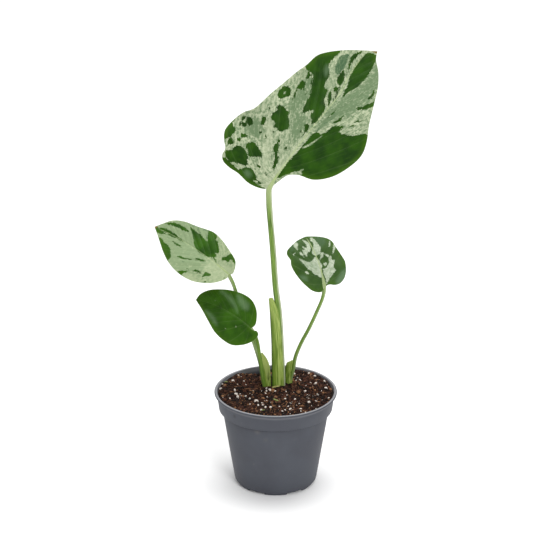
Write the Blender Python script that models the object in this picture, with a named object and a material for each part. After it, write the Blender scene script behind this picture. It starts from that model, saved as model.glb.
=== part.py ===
"""A young variegated monstera in a round nursery pot.

Pieces: a moulded plastic pot, the soil in it, the buried root stem, a dried leaf scale,
and four leaves, each a blade on its own sheathed stalk.

Frame: +Z up, the origin at the middle of the pot's underside, the camera side at -Y.
All sizes below are in millimetres. Meshes are written in metres.
"""
import math
from collections import namedtuple

import bmesh
import bpy
import numpy as np
from mathutils import Vector
from mathutils.geometry import delaunay_2d_cdt

MM = 0.001

# Fits
FIT_GAP = 0.35          # clearance of a piece in its hole or on its neighbour
SEAT_GAP = 0.3          # clearance between the pot's floor and the soil

# Pot
POT_SEGMENTS = 60
POT_HEIGHT = 96.0
LIP_RADIUS = 60.0
BAND_TOP_RADIUS = 57.6
BAND_FOOT_RADIUS = 55.6
BAND_FOOT_Z = 78.0
BODY_TOP_RADIUS = 52.3
BODY_FOOT_RADIUS = 40.6
FLOOR_UNDERSIDE_Z = 2.0
FLOOR_TOP_Z = 3.6
WALL = 1.7
LIP_BEND_Z = 92.5       # where the inside starts to flare out to the lip
FOOT_COUNT = 6
FOOT_RADII = (33.5, 38.0)
FOOT_ANGLE = math.radians(34.0)
FOOT_STEPS = 5          # straight pieces of a foot's bend
FOOT_SINK = 0.6         # how far the feet and the pad reach into the floor
GATE_PAD_RADIUS = 9.0
DRAIN_COUNT = 6
DRAIN_RADIUS = 4.0
DRAIN_CIRCLE = 27.0
CORNER_TURN = 0.37      # turns round pieces by part of a step, so no corners meet

# Soil
SOIL_LEVEL = 94.2
SOIL_CROWN = (97.0, 2.2)                 # the most that it rises to in the middle, less at the edge
SOIL_RINGS = 13
SOIL_SEED = 7
SOIL_LUMP = 1.1
SOIL_LUMP_WAVES = 14
SOIL_LUMP_SIZES = (9.0, 26.0)            # wavelengths
SOIL_LUMP_SUM = 3.0                      # the waves' usual sum, which SOIL_LUMP is for
SOIL_DIP = (-17.0, 50.0, 13.0, 4.8)      # x, y, spread, depth: the low spot at the back left
SOIL_RISE = (42.0, 26.0, 24.0, 1.2)      # x, y, spread, height: the bank at the right
SOIL_MOUND = (1.0, 14.0, 15.0, 2.6)      # x, y, spread, height: round the stalks
EDGE_DEPTH = 0.6                         # the least height of the soil's bevelled edge
SOIL_SIDE_GAP = 0.35                     # clearance between the soil's side and the pot

# Root stem, buried under the stalks
STEM_CENTRE = (1.5, 14.0)
STEM_PROFILE = ((77.5, 9.6), (75.5, 10.4), (68.0, 9.4), (60.0, 6.4), (54.0, 3.0))   # z, radius
STEM_FLATNESS = 0.75                     # its depth, as a share of its width
STEM_SIDES = 16
ROOT_COUNT = 5
ROOT_SIDES = 6
ROOT_SPREAD = 30.0
ROOT_HEIGHTS = (65.0, 55.0, 40.0, 24.0)  # z of its start, shoulder, elbow and end
ROOT_REACHES = (0.45, 0.8, 0.9)          # how far out the last three stand, by the spread
ROOT_RADII = (2.4, 0.9)
ROOT_RINGS = 9
ROOT_START = 2.0                         # how far from the stem's axis a root starts
ROOT_DRIFT = 0.3                         # how much of the stem's offset is left at the elbow
ROOT_STAGGER = 3.0                       # how much shorter and higher the roots end by turns

# Blades
BLADE_THICKNESS = 1.0
RIB_RAILS = (1.4, 3.0)                   # how far the rows beside the midrib stand off it
RIB_WIDTHS = (2.2, 1.0)                  # at the junction and at the tip
RIB_TAPER = 0.8
FOLD_SOFTNESS = 4.0                      # how wide the fold along the midrib is rounded
MARGIN_SLACK = 1.35                      # a margin's length, by the leaf's own, on the safe side
EVEN_ROWS = 0.87                         # how far apart rows of even triangles lie, by their size
EDGE_CLEARANCE = 0.55                    # the least way from a field point to the outline, same
RIB_CLEARANCE = 0.9                      # the least way from a rail's point to the outline

# Colours, linear
POT_COLOUR = (0.095, 0.105, 0.125)
SOIL_COLOUR = (0.045, 0.026, 0.018)
STEM_COLOUR = (0.30, 0.24, 0.13)
STALK_COLOUR = (0.20, 0.33, 0.075)
SCALE_COLOUR = (0.34, 0.40, 0.14)

# A leaf's blade is a height field over a flat frame. The frame stands at the junction with the
# stalk. Its p axis runs along the leaf's chord, its q axis to the left of it seen from the face,
# and its h axis out of the face. azimuth, elevation and roll are in degrees.
# bow: how far the midrib bends to +q. fold: slope of the two halves up from the midrib.
# cup: how far the halves turn back down. arch: how far the tip droops, by the leaf's length.
# waves: (side, height, count along the leaf, phase) of the margin's up and down.
# mesh: the size of the blade's triangles.
# left_margin and right_margin: points of the outline from the junction to the tip.
Leaf = namedtuple("Leaf", "name junction azimuth elevation roll length half_width bow fold cup "
                  "arch waves rib mesh colour left_margin right_margin")

# A stalk is a tube through route, ending at seat, a (p, q, h) place in its leaf's frame.
# Its sheath is a flattened body that clasps the stalk's foot: (x, y, z, half width, half depth).
Stalk = namedtuple("Stalk", "name radius tip_radius foot route seat sheath")

TALL = Leaf(
    name="tall_leaf", junction=(-7.0, -2.0, 307.0), azimuth=28.0, elevation=47.0, roll=43.0,
    length=168.0, half_width=60.0, bow=0.0, fold=0.18, cup=0.10, arch=0.10,
    waves=((1, 2.2, 3.0, 0.1), (-1, 1.8, 2.5, 0.6)), rib=2.4, mesh=7.5,
    colour=(0.30, 0.40, 0.20),
    left_margin=((0, 0), (-4, 6), (-7, 18), (-5.5, 32), (-6, 42), (-4.5, 51), (0, 55), (6, 56),
                 (12, 62), (20, 67.5), (32, 68), (44, 64.5), (54, 57.5), (80, 53), (104, 48),
                 (117, 44), (130, 42), (138, 37), (150, 25), (162, 9), (168, 0)),
    right_margin=((0, 0), (10, -3), (21, -7), (27, -15), (32, -30), (45, -43), (62, -50),
                  (78, -52), (91, -48), (105, -40), (124, -31), (140, -23), (152, -14),
                  (161, -4), (168, 0)))

LEFT = Leaf(
    name="left_leaf", junction=(-46.0, 24.0, 209.0), azimuth=141.0, elevation=18.0, roll=-34.0,
    length=103.0, half_width=30.0, bow=-3.0, fold=0.20, cup=0.15, arch=0.12,
    waves=((1, 1.2, 2.0, 0.2), (-1, 1.2, 2.0, 0.7)), rib=1.5, mesh=5.2,
    colour=(0.36, 0.45, 0.27),
    left_margin=((0, 0), (-2, 4), (0, 10), (6, 18), (18, 25), (32, 28), (46, 28), (58, 25),
                 (71, 19), (86, 10), (96, 4), (103, 0)),
    right_margin=((0, 0), (-3, -3), (-1, -9), (4, -15), (16, -20), (32, -25), (46, -27),
                  (64, -23), (80, -20), (91, -15), (98, -7), (103, 0)))

GREEN = Leaf(
    name="green_leaf", junction=(-24.0, -9.0, 166.0), azimuth=153.0, elevation=19.0, roll=-49.0,
    length=67.0, half_width=26.0, bow=-4.0, fold=0.20, cup=0.20, arch=0.22,
    waves=((1, 0.9, 1.5, 0.3), (-1, 0.7, 1.5, 0.0)), rib=1.3, mesh=4.6,
    colour=(0.035, 0.12, 0.018),
    left_margin=((0, 0), (-3, 0.5), (-6, -0.5), (-9, 1), (-10, 6), (-7, 12.5), (-2, 18), (7, 23),
                 (18, 23), (30, 20), (42, 13.5), (55, 6), (67, 0)),
    right_margin=((0, 0), (-2, -5), (0, -11), (5, -18.5), (14, -24.5), (25, -26), (38, -24),
                  (50, -19.5), (60, -14), (66, -7), (67, 0)))

RIGHT = Leaf(
    name="right_leaf", junction=(47.0, 6.0, 203.0), azimuth=115.0, elevation=46.0, roll=-16.0,
    length=59.0, half_width=30.0, bow=-2.5, fold=0.16, cup=0.20, arch=0.22,
    waves=((1, 0.8, 1.5, 0.6), (-1, 0.8, 1.5, 0.1)), rib=1.3, mesh=4.6,
    colour=(0.10, 0.20, 0.07),
    left_margin=((0, 0), (-4, 4), (-3.5, 8), (0, 13), (6.5, 17), (15, 20.7), (24.5, 23.2),
                 (32, 23.7), (37.5, 22.4), (42, 23.4), (46, 23.5), (49.5, 21.5), (52.5, 17),
                 (55.5, 12), (57.5, 7), (59, 0)),
    right_margin=((0, 0), (1, -5), (-1, -10), (-1, -15), (2.5, -20.5), (7.5, -24), (14.5, -26.5),
                  (21, -27.5), (29, -26), (37.5, -24), (45, -22.5), (50, -19), (54, -13),
                  (57, -6), (59, 0)))

TALL_STALK = Stalk(
    name="tall_leaf", radius=3.4, tip_radius=2.7, foot=(4.6, 13.4, 78.0),
    route=((6.1, 13.0, 92.1), (4.8, 11.5, 140.2), (2.9, 10.0, 174.9), (-0.1, 8.5, 200.8),
           (-3.0, 5.0, 243.9), (-5.7, 1.5, 278.2), (-6.6, 0.2, 294.0)),
    seat=(3.0, 0.0, -3.2),
    sheath=((2.2, 10.0, 84.0, 5.6, 3.0), (2.3, 9.8, 96.0, 5.8, 3.5), (1.9, 9.5, 117.5, 5.8, 3.7),
            (1.2, 8.5, 141.6, 5.4, 3.6), (-0.4, 7.7, 163.0, 4.7, 3.3),
            (-1.7, 7.2, 177.0, 4.0, 2.8), (-3.3, 7.0, 185.0, 2.9, 2.2),
            (-4.6, 6.8, 190.8, 1.9, 1.4)))

LEFT_STALK = Stalk(
    name="left_leaf", radius=2.1, tip_radius=1.7, foot=(-5.2, 17.6, 78.0),
    route=((-11.2, 17.0, 93.1), (-13.4, 17.2, 108.1), (-16.1, 17.4, 120.6), (-20.9, 18.4, 137.2),
           (-25.1, 21.4, 149.0), (-32.0, 26.0, 169.9), (-37.8, 27.2, 185.6), (-42.0, 25.6, 199.5)),
    seat=(2.0, 0.0, -2.5),
    sheath=((-9.6, 18.6, 84.0, 2.6, 1.8), (-10.6, 18.8, 96.0, 3.2, 1.9),
            (-12.4, 18.8, 108.0, 3.2, 1.8), (-14.6, 18.6, 118.0, 2.4, 1.6),
            (-16.4, 18.3, 123.0, 1.1, 1.1)))

GREEN_STALK = Stalk(
    name="green_leaf", radius=2.2, tip_radius=1.8, foot=(-5.6, 11.4, 78.0),
    route=((-10.3, 10.0, 93.5), (-12.9, 8.5, 108.3), (-14.9, 6.0, 123.4), (-16.5, 3.0, 135.5),
           (-17.6, 0.0, 145.4), (-20.0, -4.2, 156.0)),
    seat=(1.0, 0.0, -1.3),
    sheath=((-8.2, 10.2, 84.0, 3.6, 2.2), (-8.5, 10.0, 94.0, 3.8, 2.3),
            (-8.8, 9.5, 104.6, 3.9, 2.0), (-9.6, 9.0, 113.4, 3.8, 1.7),
            (-10.6, 8.0, 122.5, 3.3, 1.5), (-12.2, 6.8, 130.0, 2.1, 1.3),
            (-13.8, 6.0, 134.6, 0.9, 0.9)))

RIGHT_STALK = Stalk(
    name="right_leaf", radius=2.1, tip_radius=1.7, foot=(9.0, 17.2, 78.0),
    route=((13.7, 19.6, 94.0), (15.3, 19.0, 102.2), (17.3, 17.6, 111.0), (19.3, 16.0, 124.0),
           (24.4, 14.0, 139.1), (32.6, 12.0, 157.1), (39.7, 10.0, 174.9), (45.4, 8.4, 191.0)),
    seat=(2.0, 0.0, -2.5),
    sheath=((12.4, 19.4, 84.0, 2.6, 1.7), (12.8, 19.2, 94.6, 3.5, 1.7),
            (13.0, 18.6, 104.6, 3.9, 1.6), (13.7, 17.6, 113.5, 3.8, 1.5),
            (14.8, 16.8, 119.0, 2.8, 1.3), (15.8, 16.4, 122.4, 1.5, 1.0)))

LEAVES = (TALL, LEFT, GREEN, RIGHT)
STALKS = (TALL_STALK, LEFT_STALK, GREEN_STALK, RIGHT_STALK)

STALK_SIDES = 12
STALK_RINGS = 22
SHEATH_SIDES = 12
CURVE_STEPS = 12        # points between two controls of a curve, before they are spaced out

# Dried leaf scale: a curled strip in front of the tall leaf's sheath
SCALE_ROUTE = ((5.2, 5.6, 94.6), (4.2, 4.9, 97.6), (1.6, 4.4, 98.5), (-2.0, 4.0, 97.7),
               (-5.2, 4.2, 96.7), (-7.4, 5.0, 94.8))
SCALE_HALF_WIDTH = 0.6
SCALE_HALF_DEPTH = 1.3
SCALE_RINGS = 10
SCALE_SIDES = 8
SCALE_ENDS = 0.35       # how full its ends are, in radians of a sine


# Mesh helpers

def clear_scene():
    for found in list(bpy.data.objects):
        bpy.data.objects.remove(found, do_unlink=True)


def make_material(name, colour, roughness):
    material = bpy.data.materials.new(name)
    material.use_nodes = True
    shader = material.node_tree.nodes["Principled BSDF"]
    shader.inputs["Base Color"].default_value = (*colour, 1.0)
    shader.inputs["Roughness"].default_value = roughness
    shader.inputs["Metallic"].default_value = 0.0
    material.diffuse_color = (*colour, 1.0)
    return material


def make_object(name, points, faces, material=None):
    """A mesh object from points in millimetres."""
    mesh = bpy.data.meshes.new(name)
    mesh.from_pydata([tuple(float(c) * MM for c in point) for point in points], [], faces)
    mesh.validate()
    made = bpy.data.objects.new(name, mesh)
    bpy.context.collection.objects.link(made)
    if material:
        mesh.materials.append(material)
    turn_faces_out(made)
    return made


def turn_faces_out(made):
    shape = bmesh.new()
    shape.from_mesh(made.data)
    bmesh.ops.recalc_face_normals(shape, faces=shape.faces)
    shape.to_mesh(made.data)
    shape.free()


def apply_modifier(target, modifier):
    bpy.context.view_layer.objects.active = target
    with bpy.context.temp_override(object=target, active_object=target):
        bpy.ops.object.modifier_apply(modifier=modifier.name)


def combine(target, other, operation):
    """Join other to target, or cut it away, and remove other."""
    modifier = target.modifiers.new(operation.lower(), "BOOLEAN")
    modifier.operation = operation
    modifier.solver = "EXACT"
    modifier.object = other
    apply_modifier(target, modifier)
    bpy.data.objects.remove(other, do_unlink=True)


def connected_parts(shape):
    """The sets of faces of a bmesh that hang together."""
    parts = []
    seen = set()
    for start in shape.faces:
        if start in seen:
            continue
        part = []
        open_faces = [start]
        seen.add(start)
        while open_faces:
            face = open_faces.pop()
            part.append(face)
            for edge in face.edges:
                for near in edge.link_faces:
                    if near not in seen:
                        seen.add(near)
                        open_faces.append(near)
        parts.append(part)
    return parts


def keep_largest_part(target):
    """Drop the loose scraps that a cut leaves."""
    shape = bmesh.new()
    shape.from_mesh(target.data)
    bmesh.ops.remove_doubles(shape, verts=shape.verts, dist=0.00001)
    parts = connected_parts(shape)
    parts.sort(key=lambda part: sum(face.calc_area() for face in part), reverse=True)
    scraps = [face for part in parts[1:] for face in part]
    if scraps:
        bmesh.ops.delete(shape, geom=scraps, context="FACES")
        loose = [vert for vert in shape.verts if not vert.link_faces]
        bmesh.ops.delete(shape, geom=loose, context="VERTS")
    bmesh.ops.triangulate(shape, faces=shape.faces)
    shape.to_mesh(target.data)
    shape.free()


def shade(target, angle=40.0):
    target.data.shade_smooth()
    target.data.set_sharp_from_angle(angle=math.radians(angle))


# Curves

def spline(controls, count):
    """Points at even steps along a smooth curve through the controls."""
    controls = np.array(controls, float)
    ends = (2 * controls[0] - controls[1], 2 * controls[-1] - controls[-2])
    nodes = np.vstack([ends[0], controls, ends[1]])
    fine = []
    for start in range(len(controls) - 1):
        four = nodes[start:start + 4]
        steps = np.sqrt(np.linalg.norm(np.diff(four[:, :3], axis=0), axis=1))
        times = np.concatenate([[0.0], np.cumsum(np.maximum(steps, 1e-6))])
        for t in np.linspace(times[1], times[2], CURVE_STEPS, endpoint=False):
            fine.append(curve_point(four, times, t))
    fine.append(controls[-1])
    fine = np.array(fine)
    lengths = np.concatenate([[0.0], np.cumsum(np.linalg.norm(np.diff(fine, axis=0), axis=1))])
    even = np.linspace(0.0, lengths[-1], count)
    columns = [np.interp(even, lengths, fine[:, axis]) for axis in range(fine.shape[1])]
    return np.stack(columns, axis=1)


def blend(start, end, low, high, t):
    share = (t - low) / (high - low)
    return start + share * (end - start)


def curve_point(four, times, t):
    """One point of a smooth curve between the middle two of four controls."""
    near = [blend(four[i], four[i + 1], times[i], times[i + 1], t) for i in range(3)]
    wide = [blend(near[i], near[i + 1], times[i], times[i + 2], t) for i in range(2)]
    return blend(wide[0], wide[1], times[1], times[2], t)


def unit(vector):
    return vector / np.linalg.norm(vector)


def rings_along(path, half_widths, half_depths, sides, across=(1.0, 0.0, 0.0)):
    """Ellipses square to the path, whose wide way turns with it as little as it can."""
    wide = np.array(across, float)
    rings = []
    for index, centre in enumerate(path):
        before = path[max(index - 1, 0)]
        after = path[min(index + 1, len(path) - 1)]
        along = unit(after - before)
        wide = unit(wide - along * (wide @ along))
        deep = np.cross(along, wide)
        ring = []
        for side in range(sides):
            angle = 2 * math.pi * side / sides
            ring.append(centre + half_widths[index] * math.cos(angle) * wide
                        + half_depths[index] * math.sin(angle) * deep)
        rings.append(ring)
    return rings


def loft(name, rings, material=None):
    """A closed body through rings of points, with a cap at each end."""
    sides = len(rings[0])
    points = [point for ring in rings for point in ring]
    faces = []
    for row in range(len(rings) - 1):
        for side in range(sides):
            following = (side + 1) % sides
            low = row * sides
            high = low + sides
            faces.append((low + side, low + following, high + following, high + side))
    faces.append(tuple(reversed(range(sides))))
    last = (len(rings) - 1) * sides
    faces.append(tuple(range(last, last + sides)))
    return make_object(name, points, faces, material)


def turned(name, profile, segments, material=None):
    """A closed body turned about Z from a profile that starts and ends on the axis."""
    points = [(0.0, 0.0, profile[0][1])]
    for radius, height in profile[1:-1]:
        for segment in range(segments):
            angle = 2 * math.pi * segment / segments
            points.append((radius * math.cos(angle), radius * math.sin(angle), height))
    points.append((0.0, 0.0, profile[-1][1]))
    faces = []
    rings = len(profile) - 2
    for segment in range(segments):
        following = (segment + 1) % segments
        faces.append((0, 1 + following, 1 + segment))
        for ring in range(rings - 1):
            low = 1 + ring * segments
            high = low + segments
            faces.append((low + segment, low + following, high + following, high + segment))
        last = 1 + (rings - 1) * segments
        faces.append((last + segment, last + following, len(points) - 1))
    return make_object(name, points, faces, material)


# Pot

def pot_inside():
    """The pot's inner profile, floor to lip, as (radius, z)."""
    return ((35.5, FLOOR_TOP_Z), (38.8, 7.5), (BODY_TOP_RADIUS - WALL, BAND_FOOT_Z),
            (BAND_FOOT_RADIUS - WALL + 0.4, BAND_FOOT_Z + 2.2), (BAND_TOP_RADIUS - WALL, LIP_BEND_Z),
            (LIP_RADIUS - 2.7, POT_HEIGHT - 0.2))


def pot_outside():
    """The pot's outer profile, underside to lip."""
    foot = FLOOR_UNDERSIDE_Z
    return ((38.2, foot), (39.7, foot + 0.9), (BODY_FOOT_RADIUS, foot + 3.2),
            (BODY_TOP_RADIUS, BAND_FOOT_Z), (BAND_FOOT_RADIUS - 0.4, BAND_FOOT_Z),
            (BAND_FOOT_RADIUS, BAND_FOOT_Z + 0.5), (BAND_TOP_RADIUS, 93.0),
            (LIP_RADIUS - 0.5, 93.6), (LIP_RADIUS, 94.4), (LIP_RADIUS - 0.2, 95.4),
            (LIP_RADIUS - 1.1, POT_HEIGHT))


def make_ring_sector(inner, outer, middle_angle, spread, low, high):
    """One foot: a block bent round the pot's axis."""
    points = []
    for step in range(FOOT_STEPS + 1):
        angle = middle_angle + spread * (step / FOOT_STEPS - 0.5)
        for radius, height in ((inner, low), (outer, low), (outer, high), (inner, high)):
            points.append((radius * math.cos(angle), radius * math.sin(angle), height))
    faces = [(3, 2, 1, 0)]
    for step in range(FOOT_STEPS):
        low_row = 4 * step
        high_row = low_row + 4
        for corner in range(4):
            after = (corner + 1) % 4
            faces.append((low_row + corner, low_row + after, high_row + after, high_row + corner))
    last = 4 * FOOT_STEPS
    faces.append((last, last + 1, last + 2, last + 3))
    return make_object("foot", points, faces)


def make_drum(name, centre, radius, low, high, sides):
    """A short upright cylinder, turned a little so that no corner meets the pot's spokes."""
    ring = []
    for side in range(sides):
        angle = 2 * math.pi * (side + CORNER_TURN) / sides
        ring.append((centre[0] + radius * math.cos(angle), centre[1] + radius * math.sin(angle)))
    return loft(name, [[(x, y, low) for x, y in ring], [(x, y, high) for x, y in ring]])


def make_pot():
    material = make_material("pot_plastic", POT_COLOUR, 0.55)
    profile = [(0.0, FLOOR_UNDERSIDE_Z)]
    profile += list(pot_outside())
    profile += list(reversed(pot_inside()))
    profile.append((0.0, FLOOR_TOP_Z))
    pot = turned("pot", profile, POT_SEGMENTS, material)
    sunk = FLOOR_UNDERSIDE_Z + FOOT_SINK
    for foot in range(FOOT_COUNT):
        angle = -math.pi / 2 + 2 * math.pi * foot / FOOT_COUNT
        block = make_ring_sector(*FOOT_RADII, angle, FOOT_ANGLE, 0.0, sunk)
        combine(pot, block, "UNION")
    combine(pot, make_drum("gate_pad", (0, 0), GATE_PAD_RADIUS, 0.0, sunk, 24), "UNION")
    for hole in range(DRAIN_COUNT):
        angle = -math.pi / 2 + 2 * math.pi * (hole + 0.5) / DRAIN_COUNT
        centre = (DRAIN_CIRCLE * math.cos(angle), DRAIN_CIRCLE * math.sin(angle))
        drill = make_drum("drain", centre, DRAIN_RADIUS, -1.0, FLOOR_TOP_Z + 2.0, 14)
        combine(pot, drill, "DIFFERENCE")
    keep_largest_part(pot)
    shade(pot)
    return pot


# Soil

def soil_radius(height):
    """How far the soil reaches at a height: the pot's inside, less the gap."""
    inside = pot_inside()
    radii = [radius for radius, z in inside]
    heights = [z for radius, z in inside]
    return float(np.interp(height, heights, radii)) - SOIL_SIDE_GAP


def bump(x, y, place):
    centre_x, centre_y, spread, height = place
    return height * math.exp(-((x - centre_x) ** 2 + (y - centre_y) ** 2) / spread ** 2)


def lump_waves(seed):
    """Random short waves whose sum makes the soil's lumps."""
    draw = np.random.default_rng(seed)
    waves = []
    for _ in range(SOIL_LUMP_WAVES):
        wavelength = draw.uniform(*SOIL_LUMP_SIZES)
        heading = draw.uniform(0, 2 * math.pi)
        phase = draw.uniform(0, 2 * math.pi)
        waves.append((math.cos(heading) * 2 * math.pi / wavelength,
                      math.sin(heading) * 2 * math.pi / wavelength, phase,
                      wavelength / SOIL_LUMP_SIZES[1]))
    return waves


def soil_height(x, y, waves):
    lumps = sum(size * math.sin(a * x + b * y + phase) for a, b, phase, size in waves)
    height = SOIL_LEVEL + SOIL_LUMP * lumps / SOIL_LUMP_SUM
    height += bump(x, y, SOIL_RISE) + bump(x, y, SOIL_MOUND) - bump(x, y, SOIL_DIP)
    top, fall = SOIL_CROWN
    return min(height, top - fall * (x * x + y * y) / soil_radius(SOIL_LEVEL) ** 2)


def make_soil():
    material = make_material("soil", SOIL_COLOUR, 0.95)
    waves = lump_waves(SOIL_SEED)
    rings = []
    for inner in pot_inside()[:4]:
        rings.append(side_ring(inner[0] - SOIL_SIDE_GAP, inner[1] + SEAT_GAP))
    shoulder = []
    edge = []
    for segment in range(POT_SEGMENTS):
        angle = 2 * math.pi * segment / POT_SEGMENTS
        reach = soil_radius(SOIL_LEVEL)
        height = soil_height(reach * math.cos(angle), reach * math.sin(angle), waves)
        for ring, level in ((shoulder, min(LIP_BEND_Z, height - EDGE_DEPTH)), (edge, height)):
            reach = soil_radius(level)
            ring.append((reach * math.cos(angle), reach * math.sin(angle), level))
    rings.append(shoulder)
    rings.append(edge)
    for ring in range(1, SOIL_RINGS):
        share = 1.0 - ring / SOIL_RINGS
        row = []
        for x, y, height in edge:
            row.append((x * share, y * share, soil_height(x * share, y * share, waves)))
        rings.append(row)
    points = [(0.0, 0.0, FLOOR_TOP_Z + SEAT_GAP)]
    points += [point for ring in rings for point in ring]
    points.append((0.0, 0.0, soil_height(0.0, 0.0, waves)))
    return make_object("soil", points, turned_faces(len(rings), POT_SEGMENTS), material)


def side_ring(radius, height):
    ring = []
    for segment in range(POT_SEGMENTS):
        angle = 2 * math.pi * segment / POT_SEGMENTS
        ring.append((radius * math.cos(angle), radius * math.sin(angle), height))
    return ring


def turned_faces(rings, segments):
    """Triangles over rings of points, with one point at each end."""
    faces = []
    top = 1 + rings * segments
    for segment in range(segments):
        following = (segment + 1) % segments
        faces.append((0, 1 + following, 1 + segment))
        for ring in range(rings - 1):
            low = 1 + ring * segments
            high = low + segments
            faces.append((low + segment, low + following, high + following))
            faces.append((low + segment, high + following, high + segment))
        last = 1 + (rings - 1) * segments
        faces.append((last + segment, last + following, top))
    return faces


# Root stem

def make_root_stem(name, grow, material=None):
    """The buried stem with its main roots, or its cavity when grown."""
    rings = []
    for height, radius in STEM_PROFILE:
        wide = radius + grow
        ring = []
        for side in range(STEM_SIDES):
            angle = 2 * math.pi * side / STEM_SIDES
            ring.append((STEM_CENTRE[0] + wide * math.cos(angle),
                         STEM_CENTRE[1] + STEM_FLATNESS * wide * math.sin(angle), height))
        rings.append(ring)
    rings[0] = [(x, y, z + grow) for x, y, z in rings[0]]
    rings[-1] = [(x, y, z - grow) for x, y, z in rings[-1]]
    stem = loft(name, rings, material)
    for root in range(ROOT_COUNT):
        combine(stem, make_root(root, grow), "UNION")
    keep_largest_part(stem)
    shade(stem, 60.0)
    return stem


def make_root(index, grow):
    """One root, from the stem out and down; every other one is shorter and ends higher."""
    angle = 2 * math.pi * (index + 0.3) / ROOT_COUNT
    heading = np.array((math.cos(angle), math.sin(angle)))
    spread = ROOT_SPREAD - ROOT_STAGGER * (index % 2)
    centre = np.array(STEM_CENTRE)
    shoulder_reach, elbow_reach, end_reach = ROOT_REACHES
    start_z, shoulder_z, elbow_z, end_z = ROOT_HEIGHTS
    places = ((centre + ROOT_START * heading, start_z),
              (centre + shoulder_reach * spread * heading, shoulder_z),
              (ROOT_DRIFT * centre + elbow_reach * spread * heading, elbow_z),
              (end_reach * spread * heading, end_z + ROOT_STAGGER * index))
    path = spline([(*place, z) for place, z in places], ROOT_RINGS)
    if grow:
        path[-1] += unit(path[-1] - path[-2]) * grow
    radii = np.linspace(*ROOT_RADII, ROOT_RINGS) + grow
    return loft("root", rings_along(path, radii, radii, ROOT_SIDES))


# Leaves

def leaf_axes(leaf):
    """The leaf frame's p, q and h directions."""
    azimuth = math.radians(leaf.azimuth)
    elevation = math.radians(leaf.elevation)
    roll = math.radians(leaf.roll)
    along = np.array((math.cos(azimuth) * math.cos(elevation),
                      math.sin(azimuth) * math.cos(elevation), math.sin(elevation)))
    side = unit(np.cross(along, (0.0, 0.0, 1.0)))
    level = np.cross(side, along)
    out = math.cos(roll) * level + math.sin(roll) * side
    return along, np.cross(out, along), out


def midrib(leaf, p):
    share = np.clip(p / leaf.length, 0.0, 1.0)
    return leaf.bow * 4.0 * share * (1.0 - share)


def blade_height(leaf, p, q):
    """How far the blade's face stands out of the leaf frame's plane."""
    off = q - midrib(leaf, p)
    share = np.clip(p / leaf.length, 0.0, 1.2)
    out = off / leaf.half_width
    height = leaf.fold * (math.hypot(off, FOLD_SOFTNESS) - FOLD_SOFTNESS)
    height -= leaf.cup * leaf.half_width * out ** 2
    height -= leaf.arch * leaf.length * share ** 2
    for side, size, count, phase in leaf.waves:
        if side * off > 0:
            height += size * out ** 2 * math.sin(2 * math.pi * (count * p / leaf.length + phase))
    return height


def rib_depth(leaf, p, q):
    """How far the midrib stands out of the blade's back."""
    off = q - midrib(leaf, p)
    share = min(max(p / leaf.length, 0.0), 1.0)
    width = RIB_WIDTHS[1] + (RIB_WIDTHS[0] - RIB_WIDTHS[1]) * (1.0 - share)
    return leaf.rib * (1.0 - share) ** RIB_TAPER * math.exp(-(off / width) ** 2)


def leaf_to_world(leaf, p, q, h):
    along, across, out = leaf_axes(leaf)
    return np.array(leaf.junction) + p * along + q * across + h * out


def blade_outline(leaf, grow=0.0):
    """The blade's outline in (p, q), from the junction round by the tip and back."""
    steps = int(leaf.length * MARGIN_SLACK / leaf.mesh)
    right = spline(leaf.right_margin, steps)
    left = spline(leaf.left_margin, steps)
    outline = np.vstack([right[:-1], left[:0:-1]])
    forward = np.roll(outline, -1, axis=0) - np.roll(outline, 1, axis=0)
    outward = np.stack([forward[:, 1], -forward[:, 0]], axis=1)
    outward /= np.linalg.norm(outward, axis=1)[:, None]
    return outline + grow * outward


def is_inside(outline, point):
    """Even-odd test of a point against a closed outline."""
    inside = False
    for (p0, q0), (p1, q1) in zip(outline, np.roll(outline, -1, axis=0)):
        if (q0 > point[1]) != (q1 > point[1]):
            if point[0] < p0 + (p1 - p0) * (point[1] - q0) / (q1 - q0):
                inside = not inside
    return inside


def blade_inner_points(leaf, outline):
    """Rails along the midrib, and a staggered field over the rest of the blade."""
    points = []
    for p in np.arange(leaf.mesh * 0.5, leaf.length - 1.0, leaf.mesh):
        for rail in (0.0,) + RIB_RAILS + tuple(-rail for rail in RIB_RAILS):
            points.append((p, float(midrib(leaf, p)) + rail))
    low = outline.min(axis=0)
    high = outline.max(axis=0)
    for row, q in enumerate(np.arange(low[1], high[1], leaf.mesh * EVEN_ROWS)):
        for p in np.arange(low[0] + leaf.mesh * 0.5 * (row % 2), high[0], leaf.mesh):
            if abs(q - midrib(leaf, p)) > RIB_RAILS[-1] + 0.5 * leaf.mesh:
                points.append((p, q))
    kept = []
    for p, q in points:
        on_rail = abs(q - midrib(leaf, p)) <= RIB_RAILS[-1]
        clear = RIB_CLEARANCE if on_rail else EDGE_CLEARANCE * leaf.mesh
        to_edge = np.linalg.norm(outline - (p, q), axis=1).min()
        if to_edge > clear and is_inside(outline, (p, q)):
            kept.append((p, q))
    return kept


def blade_sheet(leaf, grow=0.0):
    """The blade in its own plane: points and triangles."""
    outline = blade_outline(leaf, grow)
    inner = blade_inner_points(leaf, outline)
    points = [Vector(point) for point in list(outline) + inner]
    made = delaunay_2d_cdt(points, [], [list(range(len(outline)))], 1, 0.00001)
    return made[0], made[2]


def open_edges(triangles):
    """The directed edges that one triangle alone uses."""
    used = set()
    for triangle in triangles:
        for index, start in enumerate(triangle):
            used.add((start, triangle[(index + 1) % 3]))
    return [edge for edge in used if edge[::-1] not in used]


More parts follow.
